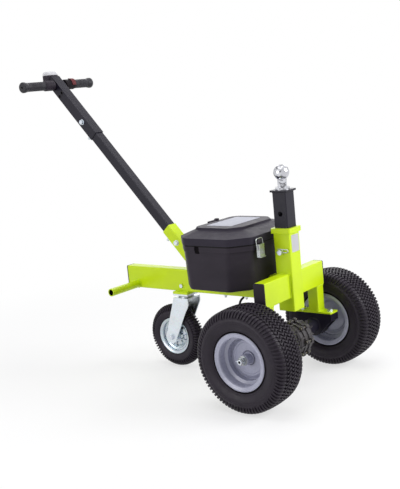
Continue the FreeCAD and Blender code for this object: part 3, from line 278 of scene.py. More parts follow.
def rubber(name, color, rough, dusty, grain=0.00025, specular=0.32):
    """Vulcanised rubber: matte with fine pits, bloom and a trace of dust."""
    n = Surface(name)
    radius = 0.0005
    bloom = n.span(n.noise(16.0, 5.0, 0.6), 0.32, 0.70)
    base = n.mix(bloom, shade(color, 0.80), shade(color, 1.22))
    dust = n.span(n.noise(110.0, 6.0, 0.72), 0.54, 0.82, 0.0, 0.42)
    base = n.mix(dust, base, dusty)
    base = n.mix(n.math("MULTIPLY", n.edges(radius * 2), 0.35), base, dusty)
    roughness = n.span(n.noise(70.0, 4.0), 0.3, 0.7, rough - 0.07, rough + 0.07)
    pits = n.math("ADD", n.noise(1300.0, 3.0, 0.6), n.math("MULTIPLY", n.noise(240.0, 2.0), 0.6))
    return n.finish(base, roughness, n.bump(pits, grain, 0.5, n.rounded(radius)),
                    Specular_IOR_Level=specular)


def cast_metal(name, color, rough):
    """Painted sand casting: coarse skin, dark pores and paler edges, partly rubbed high spots and
    partly a painted highlight.
    """
    n = Surface(name)
    skin = n.span(n.noise(140.0, 6.0, 0.7), 0.3, 0.7)
    base = n.mix(skin, shade(color, 0.65), shade(color, 1.45))
    oil = n.span(n.noise(18.0, 4.0), 0.52, 0.72, 0.0, 0.55)
    base = n.mix(oil, base, (0.030, 0.022, 0.018))
    # Paler edges: partly rubbed wear, partly a painted highlight.
    worn_and_lit_edge = n.math("MULTIPLY", n.edges(0.0016), n.span(n.noise(120.0, 4.0), 0.40, 0.62))
    base = n.mix(worn_and_lit_edge, base, (0.20, 0.19, 0.19))
    roughness = n.math("SUBTRACT", n.span(n.noise(90.0), 0.3, 0.7, rough - 0.08, rough + 0.10),
                       n.math("MULTIPLY", oil, 0.25))
    pores = n.math("ADD", n.cells(420.0, "SMOOTH_F1"), n.noise(700.0, 4.0, 0.7))
    return n.finish(base, roughness, n.bump(pores, 0.0006, 0.6, n.rounded(0.0012)),
                    Specular_IOR_Level=0.5)


def chrome(name):
    """Polished plate with faint swirl marks, a grease haze, and drifts of dark reflection painted
    into its base colour.
    """
    n = Surface(name)
    # The drifts darken the base colour as painted reflection and raise the roughness as real grease
    # haze.
    haze_and_reflection = n.span(n.noise(35.0, 5.0, 0.65), 0.45, 0.72)
    base = n.mix(haze_and_reflection, (0.66, 0.67, 0.71), (0.46, 0.46, 0.49))
    # Painted reflection: near-black patches where the plate would mirror dark surroundings.
    dark_reflection = n.noise(48.0, 3.0, 0.5, n.scaled((1.0, 1.0, 1.6)), 1.2)
    base = n.mix(n.span(dark_reflection, 0.50, 0.62, 0.0, 0.85), base, (0.13, 0.13, 0.14))
    swirl = n.cells(34.0, "DISTANCE_TO_EDGE", n.scaled((1.0, 4.0, 1.0)))
    marks = n.span(swirl, 0.0, 0.02, 1.0, 0.0)
    roughness = n.math("ADD", n.span(haze_and_reflection, 0.0, 1.0, 0.04, 0.12), n.math("MULTIPLY", marks, 0.12))
    return n.finish(base, roughness, n.bump(n.noise(180.0, 2.0), 0.00003, 0.4), Metallic=1.0)


def sticker(name, color):
    """Blank printed vinyl: satin film with a faint weave, specks and dusty edges."""
    n = Surface(name)
    tone = n.span(n.noise(30.0, 4.0), 0.3, 0.7)
    base = n.mix(tone, shade(color, 0.94), shade(color, 1.03))
    specks = n.span(n.noise(420.0, 5.0, 0.8), 0.66, 0.80, 0.0, 0.35)
    base = n.mix(specks, base, shade(color, 0.62))
    base = n.mix(n.math("MULTIPLY", n.edges(0.0008), 0.5), base, shade(color, 0.75))
    roughness = n.span(n.noise(200.0), 0.3, 0.7, 0.30, 0.42)
    ripples = n.math("ADD", n.noise(60.0, 2.0), n.math("MULTIPLY", n.noise(900.0, 2.0), 0.15))
    return n.finish(base, roughness, n.bump(ripples, 0.0003, 0.35), Specular_IOR_Level=0.16)


DARK_SHEEN = (0.052, 0.046, 0.058)
SMOOTH_MOULD = {"grain_scale": 1800.0, "grain": 0.00005}
MATERIALS = {
    "green_paint": powder_coat("lime_powder_coat", (0.555, 0.735, 0.002), 0.36,
                               (0.62, 0.80, 0.16), 0.10),
    "black_paint": powder_coat("black_powder_coat", (0.0085, 0.0072, 0.0155), 0.34,
                               (0.058, 0.054, 0.074), 0.0, 0.00002, 0.28),
    "rim_paint": powder_coat("lavender_grey_enamel", (0.362, 0.368, 0.470), 0.28,
                             (0.50, 0.50, 0.58), 0.4),
    "zinc_plate": zinc("zinc_plate"),
    "spring_steel": zinc("spring_steel", (0.44, 0.45, 0.44), 0.30, 0.08),
    "yellow_zinc": zinc("yellow_zinc", (0.17, 0.155, 0.125), 0.42, 0.14),
    "rim_zinc": zinc("rim_zinc", (0.55, 0.60, 0.63), 0.26, 0.14),
    "caster_zinc": zinc("caster_zinc", (0.74, 0.78, 0.80), 0.32, 0.14),
    "chrome": chrome("chrome_plate"),
    "cast_case": cast_metal("cast_case", (0.034, 0.030, 0.034), 0.50),
    "black_plastic": moulded("black_plastic", (0.027, 0.022, 0.031), 0.48, DARK_SHEEN, 0.13),
    # The tub's plastic carries a painted shadow strip just under the lid's joint.
    "box_shell": moulded("box_shell", (0.028, 0.023, 0.032), 0.46, DARK_SHEEN, 0.13, BOX_SEAM_M),
    "lid_shell": moulded("lid_shell", (0.029, 0.025, 0.037), 0.48, (0.054, 0.049, 0.064), 0.095),
    # Near-black painted shade, put into holes, pocket backs, pipe ends and the gap at the tyres'
    # beads.
    "shade_black": moulded("shade_black", (0.004, 0.003, 0.004), 0.70, (0.012, 0.011, 0.012),
                            0.05),
    "sleeve_black": moulded("sleeve_black", (0.006, 0.004, 0.006), 0.50, (0.020, 0.017, 0.020),
                            0.12),
    # Painted shade and highlight: the red is darker than the paddle's own plastic, and the pink
    # mixed into its edges and dust patches is a painted highlight.
    "red_plastic": moulded("red_plastic", (0.10, 0.010, 0.014), 0.40, (0.26, 0.07, 0.08),
                           edge=0.0006, **SMOOTH_MOULD),
    # Painted shade: the darker grey mixed into the cap's edges darkens its rim, and the same grey
    # darkens its dust patches.
    "grey_plastic": moulded("grey_plastic", (0.56, 0.56, 0.59), 0.36, (0.30, 0.30, 0.32),
                            edge=0.0010, **SMOOTH_MOULD),
    "battery_case": moulded("battery_case", (0.035, 0.035, 0.040), 0.42),
    "tyre_rubber": rubber("tyre_rubber", (0.0132, 0.0090, 0.0165), 0.48, (0.041, 0.032, 0.047),
                          specular=0.26),
    "grip_rubber": rubber("grip_rubber", (0.018, 0.017, 0.023), 0.50, (0.050, 0.046, 0.056),
                          0.00012),
    "label": sticker("blank_label", (0.270, 0.280, 0.355)),
    "mast_label": sticker("blank_mast_label", (0.50, 0.50, 0.54)),
}
FINISHES = {"caster_fork": "caster_zinc", "caster_top_plate": "caster_zinc",
            "caster_race": "spring_steel", "left_castle_nut": "spring_steel",
            "right_castle_nut": "spring_steel", "hitch_pin_clip": "spring_steel",
            "front_latches": "spring_steel", "gear_case_bolts": "yellow_zinc",
            "battery_box_base": "box_shell", "battery_box_lid": "lid_shell",
            "switch_sleeve": "sleeve_black"}

for row in frame["record"]["subparts"]:
    node = frame["nodes"][row["node"]]
    key = FINISHES.get(row["node"], row["material_slot"])
    node.data.materials.clear()
    node.data.materials.append(MATERIALS[key])


# ------------------------------------------------------------------ mesh helpers
def add_piece(name, builder, material, body, replaces=(), smooth_angle=32.0):
    """One mesh object of a builder's points and faces, riding on a CAD body."""
    mesh = bpy.data.meshes.new(name)
    mesh.from_pydata([tuple(v) for v in builder.verts], [], builder.faces)
    mesh.validate()
    mesh.update()
    mesh.materials.append(MATERIALS[material])
    mesh.shade_smooth()
    mesh.set_sharp_from_angle(angle=math.radians(smooth_angle))
    piece = bpy.data.objects.new(name, mesh)
    bpy.context.scene.collection.objects.link(piece)
    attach(piece, body)
    if replaces:
        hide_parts(*replaces)


class Builder:
    """Collects points, in metres, and faces of one piece."""

    def __init__(self):
        self.verts = []
        self.faces = []

    def loops(self, loops, closed_loops=True, cap_first=False, cap_last=False, close_ends=False):
        """Joins rings of equally many points with quads."""
        base = len(self.verts)
        count = len(loops[0])
        for loop in loops:
            self.verts.extend(loop)
        rings = len(loops)
        for i in range(rings if close_ends else rings - 1):
            a = base + i * count
            b = base + ((i + 1) % rings) * count
            for j in range(count if closed_loops else count - 1):
                k = (j + 1) % count
                self.faces.append((a + j, a + k, b + k, b + j))
        if cap_first:
            self.faces.append(tuple(base + j for j in reversed(range(count))))
        if cap_last:
            self.faces.append(tuple(base + (rings - 1) * count + j for j in range(count)))


def around(centre, r, turn, y):
    """Point at radius r and angle turn round an axis along Y through the (x, z) centre."""
    return place(centre[0] + r * math.cos(turn), y, centre[1] + r * math.sin(turn))


def outward(u, v, turn):
    return u * math.cos(turn) + v * math.sin(turn)


def square_to(axis):
    """Unit vector of an axis and two unit vectors square to it."""
    axis = Vector(axis).normalized()
    u = axis.orthogonal().normalized()
    return axis, u, axis.cross(u)


def spin_y(builder, outline, centre, segments, y_mid=0.0):
    """Turns a closed (y, r) outline round an axis along Y through centre."""
    builder.loops([[around(centre, r, TAU * i / segments, y_mid + y) for y, r in outline]
                   for i in range(segments)], close_ends=True)


def spin_about(builder, outline, origin, axis, segments):
    """Turns a closed (height, r) outline round any axis."""
    axis, u, v = square_to(axis)
    loops = []
    for i in range(segments):
        out = outward(u, v, TAU * i / segments)
        loops.append([place(*(Vector(origin) + axis * h + out * r)) for h, r in outline])
    builder.loops(loops, close_ends=True)


def resampled(points, step, closed):
    """Points spaced evenly along a polyline of Vectors, and the step that was used."""
    line = points + points[:1] if closed else points
    lengths = [(q - p).length for p, q in zip(line, line[1:])]
    total = sum(lengths)
    count = max(2, round(total / step))
    found = []
    k, passed = 0, 0.0
    for i in range(count if closed else count + 1):
        want = total * i / count
        while k < len(lengths) - 1 and passed + lengths[k] < want - 1e-9:
            passed += lengths[k]
            k += 1
        found.append(line[k].lerp(line[k + 1], min(1.0, (want - passed) / lengths[k])))
    return found, total / count


NO_RIPPLE = 1000.0            # a pitch so long that a bead comes out as plain wire


def weld(builder, points, normal, radius, closed=True, pitch=4.4):
    """Rippled bead along a path that lies in one plane with the given normal."""
    sides = 10
    path, step = resampled([Vector(p) for p in points], 1.1, closed)
    normal = Vector(normal).normalized()
    count = len(path)
    rings = []
    for i, here in enumerate(path):
        before = path[i - 1] if closed or i else here
        after = path[(i + 1) % count] if closed or i < count - 1 else here
        side = (after - before).normalized().cross(normal)
        size = radius * (1.0 + 0.11 * math.cos(TAU * i * step / pitch))
        if not closed:
            size *= min(1.0, 0.35 + 0.4 * min(i, count - 1 - i))
        rings.append([place(*(here + outward(side, normal, TAU * k / sides) * size))
                      for k in range(sides)])
    builder.loops(rings, close_ends=closed, cap_first=not closed, cap_last=not closed)


def rounded_rectangle(centre, u, v, half_u, half_v, corner):
    """Corner-rounded rectangle of Vectors in the plane of u and v."""
    centre, u, v = Vector(centre), Vector(u), Vector(v)
    points = []
    for k, (a, b) in enumerate(((1, 1), (-1, 1), (-1, -1), (1, -1))):
        for j in range(6):
            turn = TAU * (k + j / 5) / 4
            points.append(centre + u * (a * (half_u - corner) + corner * math.cos(turn))
                          + v * (b * (half_v - corner) + corner * math.sin(turn)))
    return points


def circle(centre, u, v, radius, count=48):
    centre, u, v = Vector(centre), Vector(u), Vector(v)
    turns = [TAU * i / count for i in range(count)]
    return [centre + u * (radius * math.cos(turn)) + v * (radius * math.sin(turn))
            for turn in turns]


def slab(builder, outline, normal, thick, ease):
    """Thin plate over a closed outline of Vectors, its far edge eased."""
    normal = Vector(normal)
    centre = sum(outline, Vector()) / len(outline)
    inner = [p + (centre - p).normalized() * ease for p in outline]
    rings = [outline, [p + normal * (thick - ease) for p in outline],
             [p + normal * thick for p in inner]]
    builder.loops([[place(*p) for p in ring] for ring in rings], cap_first=True, cap_last=True)


def rib(builder, start, end, up, width, height):
    """Straight moulded rib: a bar from start to end, standing up from its foot, edges eased."""
    ease = 0.8
    up = up.normalized()
    along = (end - start).normalized()
    across = along.cross(up).normalized() * (width / 2)
    crest = 1.0 - 2 * ease / width
    rings = []
    for base, grow in ((start, 0.0), (start + along * ease, 1.0), (end - along * ease, 1.0),
                       (end, 0.0)):
        top = height - ease * (1.0 - grow)
        trim = 1.0 - 2 * ease * (1.0 - grow) / width
        section = ((-trim, 0.0), (-trim, top - ease), (-trim * crest, top), (trim * crest, top),
                   (trim, top - ease), (trim, 0.0))
        rings.append([place(*(base + across * a + up * h)) for a, h in section])
    builder.loops(rings, cap_first=True, cap_last=True)


def hexagon_head(builder, centre, axis, flats, height, turn=0.0):
    """Hexagon bolt head with a chamfered crown."""
    axis, u, v = square_to(axis)
    corner = flats / math.sqrt(3)
    rings = []
    for h, r in ((0.0, corner), (height * 0.78, corner), (height, corner * 0.86)):
        rings.append([place(*(Vector(centre) + axis * h + outward(u, v, TAU * i / 6 + turn) * r))
                      for i in range(6)])
    builder.loops(rings, cap_first=True, cap_last=True)


def arc_points(a, b, c, count):
    """Points on the circle through a, b, c, from a to c."""
    (ax, ay), (bx, by), (cx, cy) = a, b, c
    d = 2 * (ax * (by - cy) + bx * (cy - ay) + cx * (ay - by))
    aa, bb, cc = ax * ax + ay * ay, bx * bx + by * by, cx * cx + cy * cy
    ux = (aa * (by - cy) + bb * (cy - ay) + cc * (ay - by)) / d
    uy = (aa * (cx - bx) + bb * (ax - cx) + cc * (bx - ax)) / d
    radius = math.hypot(ax - ux, ay - uy)
    at_a, at_b, at_c = (math.atan2(y - uy, x - ux) for x, y in (a, b, c))
    sweep = (at_c - at_a) % TAU
    if (at_b - at_a) % TAU > sweep:
        sweep -= TAU
    turns = [at_a + sweep * i / count for i in range(count + 1)]
    return [(ux + radius * math.cos(turn), uy + radius * math.sin(turn)) for turn in turns]


def smooth(x):
    """Eased step from 0 at 0 to 1 at 1."""
    x = min(1.0, max(0.0, x))
    return x * x * (3 - 2 * x)


# ------------------------------------------------------------------ tyres
LUG_EASE = 0.7


class Profile:
    """Half section of a tyre from the middle of the tread outwards, read by its length."""

    def __init__(self, points):
        self.points = points
        self.at = [0.0]
        for p, q in zip(points, points[1:]):
            self.at.append(self.at[-1] + math.dist(p, q))
        self.length = self.at[-1]

    def read(self, s):
        """(y, r) and outward normal at signed length s from the middle."""
        side = -1 if s < 0 else 1
        s = min(abs(s), self.length - 1e-6)
        i = max(k for k in range(len(self.at) - 1) if self.at[k] <= s)
        p, q = self.points[i], self.points[i + 1]
        share = (s - self.at[i]) / (self.at[i + 1] - self.at[i])
        y = p[0] + share * (q[0] - p[0])
        r = p[1] + share * (q[1] - p[1])
        length = math.dist(p, q)
        return (side * y, r), (side * -(q[1] - p[1]) / length, (q[0] - p[0]) / length)


class Tyre:
    """Carcass and moulded lugs of one tyre, turned round an axle along Y."""

    def __init__(self, profile, centre, y_mid, radius, depth):
        self.profile = profile
        self.centre = centre
        self.y_mid = y_mid
        self.radius = radius
        self.foot = -depth - 0.6
        self.builder = Builder()

    def point(self, s, along, height):
        """Point at length s of the profile, a distance along the tread and a height over it."""
        (y, r), (ny, nr) = self.profile.read(s)
        y += ny * height
        r += nr * height
        return around(self.centre, r, along / self.radius, self.y_mid + y)

    def lug(self, outline):
        """Raised block over an outline of (s, along) points, its edges eased."""
        cs = sum(p[0] for p in outline) / len(outline)
        ct = sum(p[1] for p in outline) / len(outline)
        rings = []
        for height, grow in ((self.foot, 1.0), (-LUG_EASE, 0.0), (-0.15, -LUG_EASE)):
            ring = []
            for s, t in outline:
                d = math.hypot(s - cs, t - ct) or 1.0
                ring.append(self.point(s + grow * (s - cs) / d, t + grow * (t - ct) / d, height))
            rings.append(ring)
        self.builder.loops(rings, cap_last=True)

    def bar(self, points, width, ease=LUG_EASE):
        """Raised bar of a given width over a line of (s, along, height) points."""
        half = width / 2
        rows = []
        for s, t, height in points:
            section = ((t - half - 0.9, self.foot), (t - half, height - ease),
                       (t - half + ease, height), (t + half - ease, height),
                       (t + half, height - ease), (t + half + 0.9, self.foot))
            rows.append([self.point(s, along, h) for along, h in section])
        first, last = points[0], points[-1]
        step = 1.0 if last[0] > first[0] else -1.0
        foot, end = ([self.point(s + reach, t + k * width / 2, self.foot)
                      for k in (-1, -0.9, -0.5, 0.5, 0.9, 1)]
                     for (s, t, _), reach in ((first, -step), (last, step)))
        self.builder.loops([foot] + rows + [end], closed_loops=False)

    def carcass(self, tread_end, sink, blend, inner, segments):
        """Tread sunk by the lug depth, sidewall as it is, closed by two (y, r) inner points."""
        half = []
        steps = 46
        for i in range(steps + 1):
            s = self.profile.length * i / steps
            (y, r), (ny, nr) = self.profile.read(s)
            share = min(1.0, max(0.0, (s - tread_end) / blend))
            drop = sink * (1 - share * share * (3 - 2 * share)) + 0.35
            half.append((y - ny * drop, r - nr * drop))
        outline = [(-y, r) for y, r in reversed(half[1:])] + half
        outline += [inner, (-inner[0], inner[1])]
        spin_y(self.builder, outline, self.centre, segments, self.y_mid)

    def sidewall_ring(self, ring_r, side, rise):
        """Low moulded ring on the sidewall at a radius."""
        profile = self.profile
        steps = 400
        lengths = [profile.length * k / steps for k in range(140, steps)]
        best = min(lengths, key=lambda s: abs(profile.read(s)[0][1] - ring_r))
        outline = []
        for ds, height in ((-2.2, -0.8), (-1.0, rise - 0.2), (0.0, rise * 0.2),
                           (1.0, rise - 0.2), (2.2, -0.8)):
            (y, r), (ny, nr) = profile.read(best + ds)
            lift = height if height < 0 else height * 0.5
            outline.append((side * (y + ny * (lift - 0.3)) + self.y_mid, r + nr * (lift - 0.3)))
        spin_y(self.builder, outline, self.centre, 168)

    def add(self, name, body, node):
        add_piece(name, self.builder, "tyre_rubber", body, replaces=(node,), smooth_angle=40.0)


def drive_tyre(side, name):
    """Turf tyre: six rows of chevron lugs, curved shoulder bars and rings on the sidewalls."""
    half, top, bead, depth = 62.5, 165.0, 93.0, 4.6
    shoulder, edge = (half - 22, top - 2), (half - 5, top - 14)
    points = arc_points((0, top), (20.25, top - 0.5), shoulder, 12)
    points += arc_points(shoulder, (half - 11, top - 5.5), edge, 8)[1:]
    points += arc_points(edge, (half, bead + 0.45 * (top - bead)), (47.5, bead), 22)[1:]
    tyre = Tyre(Profile(points), DRIVE_AXLE, side * WHEEL_Y, top, depth)
    tyre.carcass(68.0, depth, 15.0, (46.0, 80.5), 168)
    pitches = 84
    pitch = TAU * top / pitches
    arm, thick, slant = 5.4, 2.7, 2.6
    start, long_bar, short_bar = 39.5, 80.0, 75.0
    for i in range(pitches):
        t = i * pitch
        for k, s in enumerate((-31.0, -18.6, -6.2, 6.2, 18.6, 31.0)):
            shift = pitch / 2 if k % 2 else 0.0
            lean = slant if k % 2 else -slant
            wing, tip = t + shift - lean, t + shift + lean * 0.9
            tyre.lug([(s - arm, wing - thick), (s, tip - thick), (s + arm, wing - thick),
                      (s + arm, wing + thick), (s, tip + thick), (s - arm, wing + thick)])
        reach = long_bar if i % 2 else short_bar
        for flank in (-1, 1):
            bar = []
            for j in range(8):
                share = j / 7
                s = start + share * (reach - start)
                fall = 0.0 if share < 0.75 else -2.6 * ((share - 0.75) / 0.25) ** 1.5
                bar.append((flank * s, t + pitch * 0.25 + 6.5 * share * share, fall - 0.15))
            tyre.bar(bar, 6.6)
    for ring_r, rise in ((101.5, 0.9), (127.0, 0.5)):
        for flank in (-1, 1):
            tyre.sidewall_ring(ring_r, flank, rise)
    tyre.add(name + "_turf_tyre", name + "_wheel", name + "_drive_tyre")


def caster_tyre():
    """Narrow tyre with slanting bars from the middle of the tread to each shoulder."""
    half, top, lip, depth = 25.0, 115.0, 68.0, 6.0
    shoulder = (half - 4, top - 10)
    points = arc_points((0, top), (10.9, top - 2.6), shoulder, 10)
    points += arc_points(shoulder, (half, lip + 18), (18.0, lip), 16)[1:]
    tyre = Tyre(Profile(points), CASTER_AXLE, 0.0, top, depth)
    tyre.carcass(33.0, depth, 8.0, (16.5, 60.0), 144)
    pitches = 66
    pitch = TAU * top / pitches
    start, reach = 2.2, 37.0
    for i in range(pitches):
        for flank in (-1, 1):
            shift = pitch / 2 if flank > 0 else 0.0
            bar = []
            for j in range(7):
                share = j / 6
                s = start + share * (reach - start)
                fall = 0.0 if share < 0.85 else -3.0 * ((share - 0.85) / 0.15) ** 1.4
                bar.append((flank * s, i * pitch + shift + 3.6 * share, fall - 0.15))
            tyre.bar(bar, 4.9, 0.6)
    tyre.add("caster_tyre_tread", "caster_wheel", "caster_tyre")


# ------------------------------------------------------------------ welds
def frame_welds():
    """Beads where arms, legs, beam, pipe, caster plate, collar and handle socket meet."""
    beam_z, arm_z, leg_top, leg_foot, collar_z = 325, 338, 298, 212, 508
    plate_rear, plate_front, plate_z = -472, -410, 284.5
    b = Builder()
    for side in (-1, 1):
        arm = rounded_rectangle((MAST_X, side * MAST_HALF, arm_z), X, Z, TUBE_HALF,
                                TUBE_TALL_HALF, TUBE_CORNER)
        weld(b, arm, Y, 3.0)
        for level, size in ((leg_top, 2.0), (leg_foot, 2.8)):
            leg = rounded_rectangle((MAST_X, side * LEG_Y, level), X, Y, TUBE_HALF, TUBE_HALF,
                                    TUBE_CORNER)
            weld(b, leg, Z, size)
        weld(b, circle((PIPE_X, side * TUBE_HALF, PIPE_Z), X, Z, PIPE_R), Y, 2.4)
        plate = [(x, side * (TUBE_HALF + 0.5), plate_z) for x in (plate_rear, plate_front)]
        weld(b, plate, Z, 2.6, closed=False)
    beam = rounded_rectangle((MAST_X - MAST_HALF, 0, beam_z), Y, Z, TUBE_HALF, TUBE_TALL_HALF,
                             TUBE_CORNER)
    weld(b, beam, X, 3.0)
    collar = rounded_rectangle((MAST_X, 0, collar_z), X, Y, MAST_HALF, MAST_HALF, TUBE_CORNER)
    weld(b, collar, Z, 2.4)
    socket = rounded_rectangle(HANDLE_FOOT, X, Y, TUBE_HALF / math.cos(HANDLE_LEAN), TUBE_HALF, 3)
    weld(b, socket, Z, 1.5)
    add_piece("frame_weld_beads", b, "green_paint", "frame", smooth_angle=60.0)


def dark_welds():
    """Beads round the ball post, the axle tubes and the handlebar."""
    post_top, post_half, tube_r, bar_r = 639, 25, 25, 12.6
    b = Builder()
    weld(b, rounded_rectangle((MAST_X, 0, post_top), X, Y, post_half, post_half, 3), Z, 2.2)
    for side in (-1, 1):
        for bracket_y in (126, 170):
            weld(b, circle((0, side * bracket_y, AXLE_Z), X, Z, tube_r), Y, 2.2)
    add_piece("dark_weld_beads", b, "black_paint", "frame", smooth_angle=60.0)
    b = Builder()
    for side in (-1, 1):
        weld(b, circle(BAR + Y * (side * 20.2), X, Z, bar_r), Y, 1.2)
    add_piece("handlebar_weld_beads", b, "black_paint", "handle_top", smooth_angle=60.0)


# ------------------------------------------------------------------ labels
def labels():
    """Blank stickers on the lid and on the front of the mast, a hair off the faces."""
    off = 0.05
    b = Builder()
    slab(b, rounded_rectangle((-206, 8, LID_TOP + off), X, Y, 51, 84, 5), Z, 0.35, 0.12)
    add_piece("lid_label", b, "label", "lid")
    b = Builder()
    face = MAST_X + MAST_HALF
    slab(b, rounded_rectangle((face + off, 2.5, 473), Y, Z, 21, 28, 3), X, 0.30, 0.10)
    add_piece("mast_label", b, "mast_label", "frame")


# ------------------------------------------------------------------ wheels' metal
def caster_rim():
    """Two pressed discs back to back, with five radial swages and clamp bolts."""
    b = Builder()
    lip, seat, half = 67.0, 58.9, 21.0
    barrel = [(-half, lip - 0.8), (-half + 0.8, lip), (-half + 2.5, lip), (-half + 3.0, seat),
              (half - 3.0, seat), (half - 2.5, lip), (half - 0.8, lip), (half, lip - 0.8),
              (half, lip - 3.0), (half - 1.6, seat + 1.0), (half - 4.5, seat - 2.3),
              (-half + 4.5, seat - 2.3), (-half + 1.6, seat + 1.0), (-half, lip - 3.0)]
    spin_y(b, barrel, CASTER_AXLE, 144)
    hub = [(-30.0, 6.2), (30.0, 6.2), (30.0, 10.0), (29.2, 11.0), (15.0, 11.0), (14.0, 17.0),
           (-14.0, 17.0), (-15.0, 11.0), (-29.2, 11.0), (-30.0, 10.0)]
    spin_y(b, hub, CASTER_AXLE, 64)

    swages, first, rings, segments = 5, 0.6, 34, 160
    inner_r, outer_r, bolt_circle = 16.0, 56.8, 34
    for side in (-1, 1):
        disc = []
        for i in range(rings + 1):
            r = inner_r + (outer_r - inner_r) * i / rings
            dish = 2.2 + 7.4 * smooth((49.0 - r) / 14.0) + 3.0 * smooth((r - 51.0) / 5.0)
            band = smooth((r - 23.0) / 5.0) * smooth((50.0 - r) / 5.0)
            ring = []
            for k in range(segments):
                turn = TAU * k / segments
                swage = smooth((math.cos(swages * turn + first) - 0.15) / 0.45)
                ring.append(around(CASTER_AXLE, r, turn, side * (dish - 5.2 * band * swage)))
            disc.append(ring)
        b.loops(disc)
        for k in range(swages):
            turn = (TAU * k + math.pi - first) / swages
            x = CASTER_AXLE[0] + bolt_circle * math.cos(turn)
            z = CASTER_AXLE[1] + bolt_circle * math.sin(turn)
            hexagon_head(b, (x, side * 9.0, z), Y * side, 10.0, 5.0, 0.3 * k)
    add_piece("caster_pressed_rim", b, "rim_zinc", "caster_wheel",
              replaces=("caster_rim",), smooth_angle=38.0)


def wheel_fittings(side, name):
    """Hub weld, valve stem and cap, and split pin of one drive wheel."""
    body = name + "_wheel"
    mid = side * WHEEL_Y
    b = Builder()
    weld(b, circle((0, mid - side * 0.1, AXLE_Z), X, Z, 17.6), Y, 2.3, pitch=4.0)
    add_piece(name + "_hub_weld", b, "rim_paint", body, smooth_angle=60.0)

    valve_turn, valve_r, valve_inboard = math.radians(239.0), 70.0, 14.0
    radial = outward(X, Z, valve_turn)
    foot = Vector((0, mid - side * valve_inboard, AXLE_Z)) + radial * valve_r
    lean = (Y * -side * 0.93 - radial * 0.37).normalized()
    b = Builder()
    stem = [(-6.0, 0.01), (-6.0, 8.0), (0.5, 8.0), (2.0, 5.6), (9.0, 5.2), (12.0, 4.2),
            (24.0, 4.0), (24.0, 0.01)]
    spin_about(b, stem, foot, lean, 24)
    add_piece(name + "_valve_stem", b, "tyre_rubber", body)
    b = Builder()
    cap = [(22.0, 0.01), (22.0, 4.2), (22.8, 4.8), (31.0, 4.6), (32.4, 3.6), (32.6, 0.01)]
    spin_about(b, cap, foot, lean, 12)
    add_piece(name + "_valve_cap", b, "zinc_plate", body, smooth_angle=20.0)

    pin_above_washer = 11.4
    y = mid + side * (HUB_OUTREACH + HUB_WASHER + pin_above_washer)
    b = Builder()
    pin = [(-13.5, 0.01), (-13.5, 1.4), (14.5, 1.4), (14.5, 0.01)]
    spin_about(b, pin, (0, y, AXLE_Z), X, 12)
    weld(b, circle((-15.6, y, AXLE_Z), X, Y, 2.6, 20), Z, 1.1, pitch=NO_RIPPLE)
    for lift, reach in ((1.0, 6.0), (-1.0, 4.5)):
        leg = [(13.0, y, AXLE_Z + lift), (15.4, y + side * 0.8, AXLE_Z + lift * 1.4),
               (15.8, y + side * reach, AXLE_Z + lift * 2.6)]
        weld(b, leg, Z, 1.0, closed=False, pitch=NO_RIPPLE)
    add_piece(name + "_split_pin", b, "zinc_plate", body, smooth_angle=50.0)


def centre_hole_shade(side, name):
    """Painted shade: a black disc at the bottom of the turning centre in the end of a half shaft,
    for the dark inside the hole.
    """
    depth = 1.2
    y = side * (WHEEL_Y + HUB_OUTREACH + HUB_WASHER + NUT_HEIGHT + STUB_END - depth)
    b = Builder()
    slab(b, circle((0, y, AXLE_Z), X, Z, 4.4, 24), Y * side, 0.5, 0.2)
    add_piece(name + "_centre_hole", b, "shade_black", name + "_wheel")


def bead_shadow(side, name):
    """Painted shadow: a black strip on the tyre where it tucks behind the rim's flanges, for the
    shadow gap there.
    """
    b = Builder()
    strip = [(46.6, 92.4), (49.6, 92.6), (51.3, 96.4), (51.0, 97.2), (48.0, 96.4), (46.2, 94.0)]
    for flank in (-1, 1):
        spin_y(b, [(flank * y, r) for y, r in strip], DRIVE_AXLE, 144, side * WHEEL_Y)
    add_piece(name + "_bead_shadow", b, "shade_black", name + "_wheel")


# ------------------------------------------------------------------ drive unit
def gear_case_ribs():
    """Cast ribs on the faces and round the rims of both halves, and on the axle tubes' necks."""
    case_ribs, neck_ribs = 12, 8
    face_y, rim_r = 36, 51.5
    b = Builder()
    case, axle = Vector((0, 0, CASE_Z)), Vector((0, 0, AXLE_Z))
    for side in (-1, 1):
        out = Y * side
        for k in range(case_ribs):
            radial = outward(X, Z, TAU * (k + 0.5) / case_ribs)
            face, rim = case + out * face_y, case + radial * rim_r
            rib(b, face + radial * 26, face + radial * 50, out, 4.5, 8.0)
            rib(b, rim + out * 15, rim + out * 37, radial, 4.5, 6.0)
    for side in (-1, 1):
        out = Y * side
        for k in range(neck_ribs):
            radial = outward(X, Z, TAU * (k + 0.5) / neck_ribs)
            rib(b, axle + radial * 30 + out * 52, axle + radial * 24 + out * 74, radial, 4.0, 8.0)
    add_piece("gear_case_ribs", b, "cast_case", "frame")


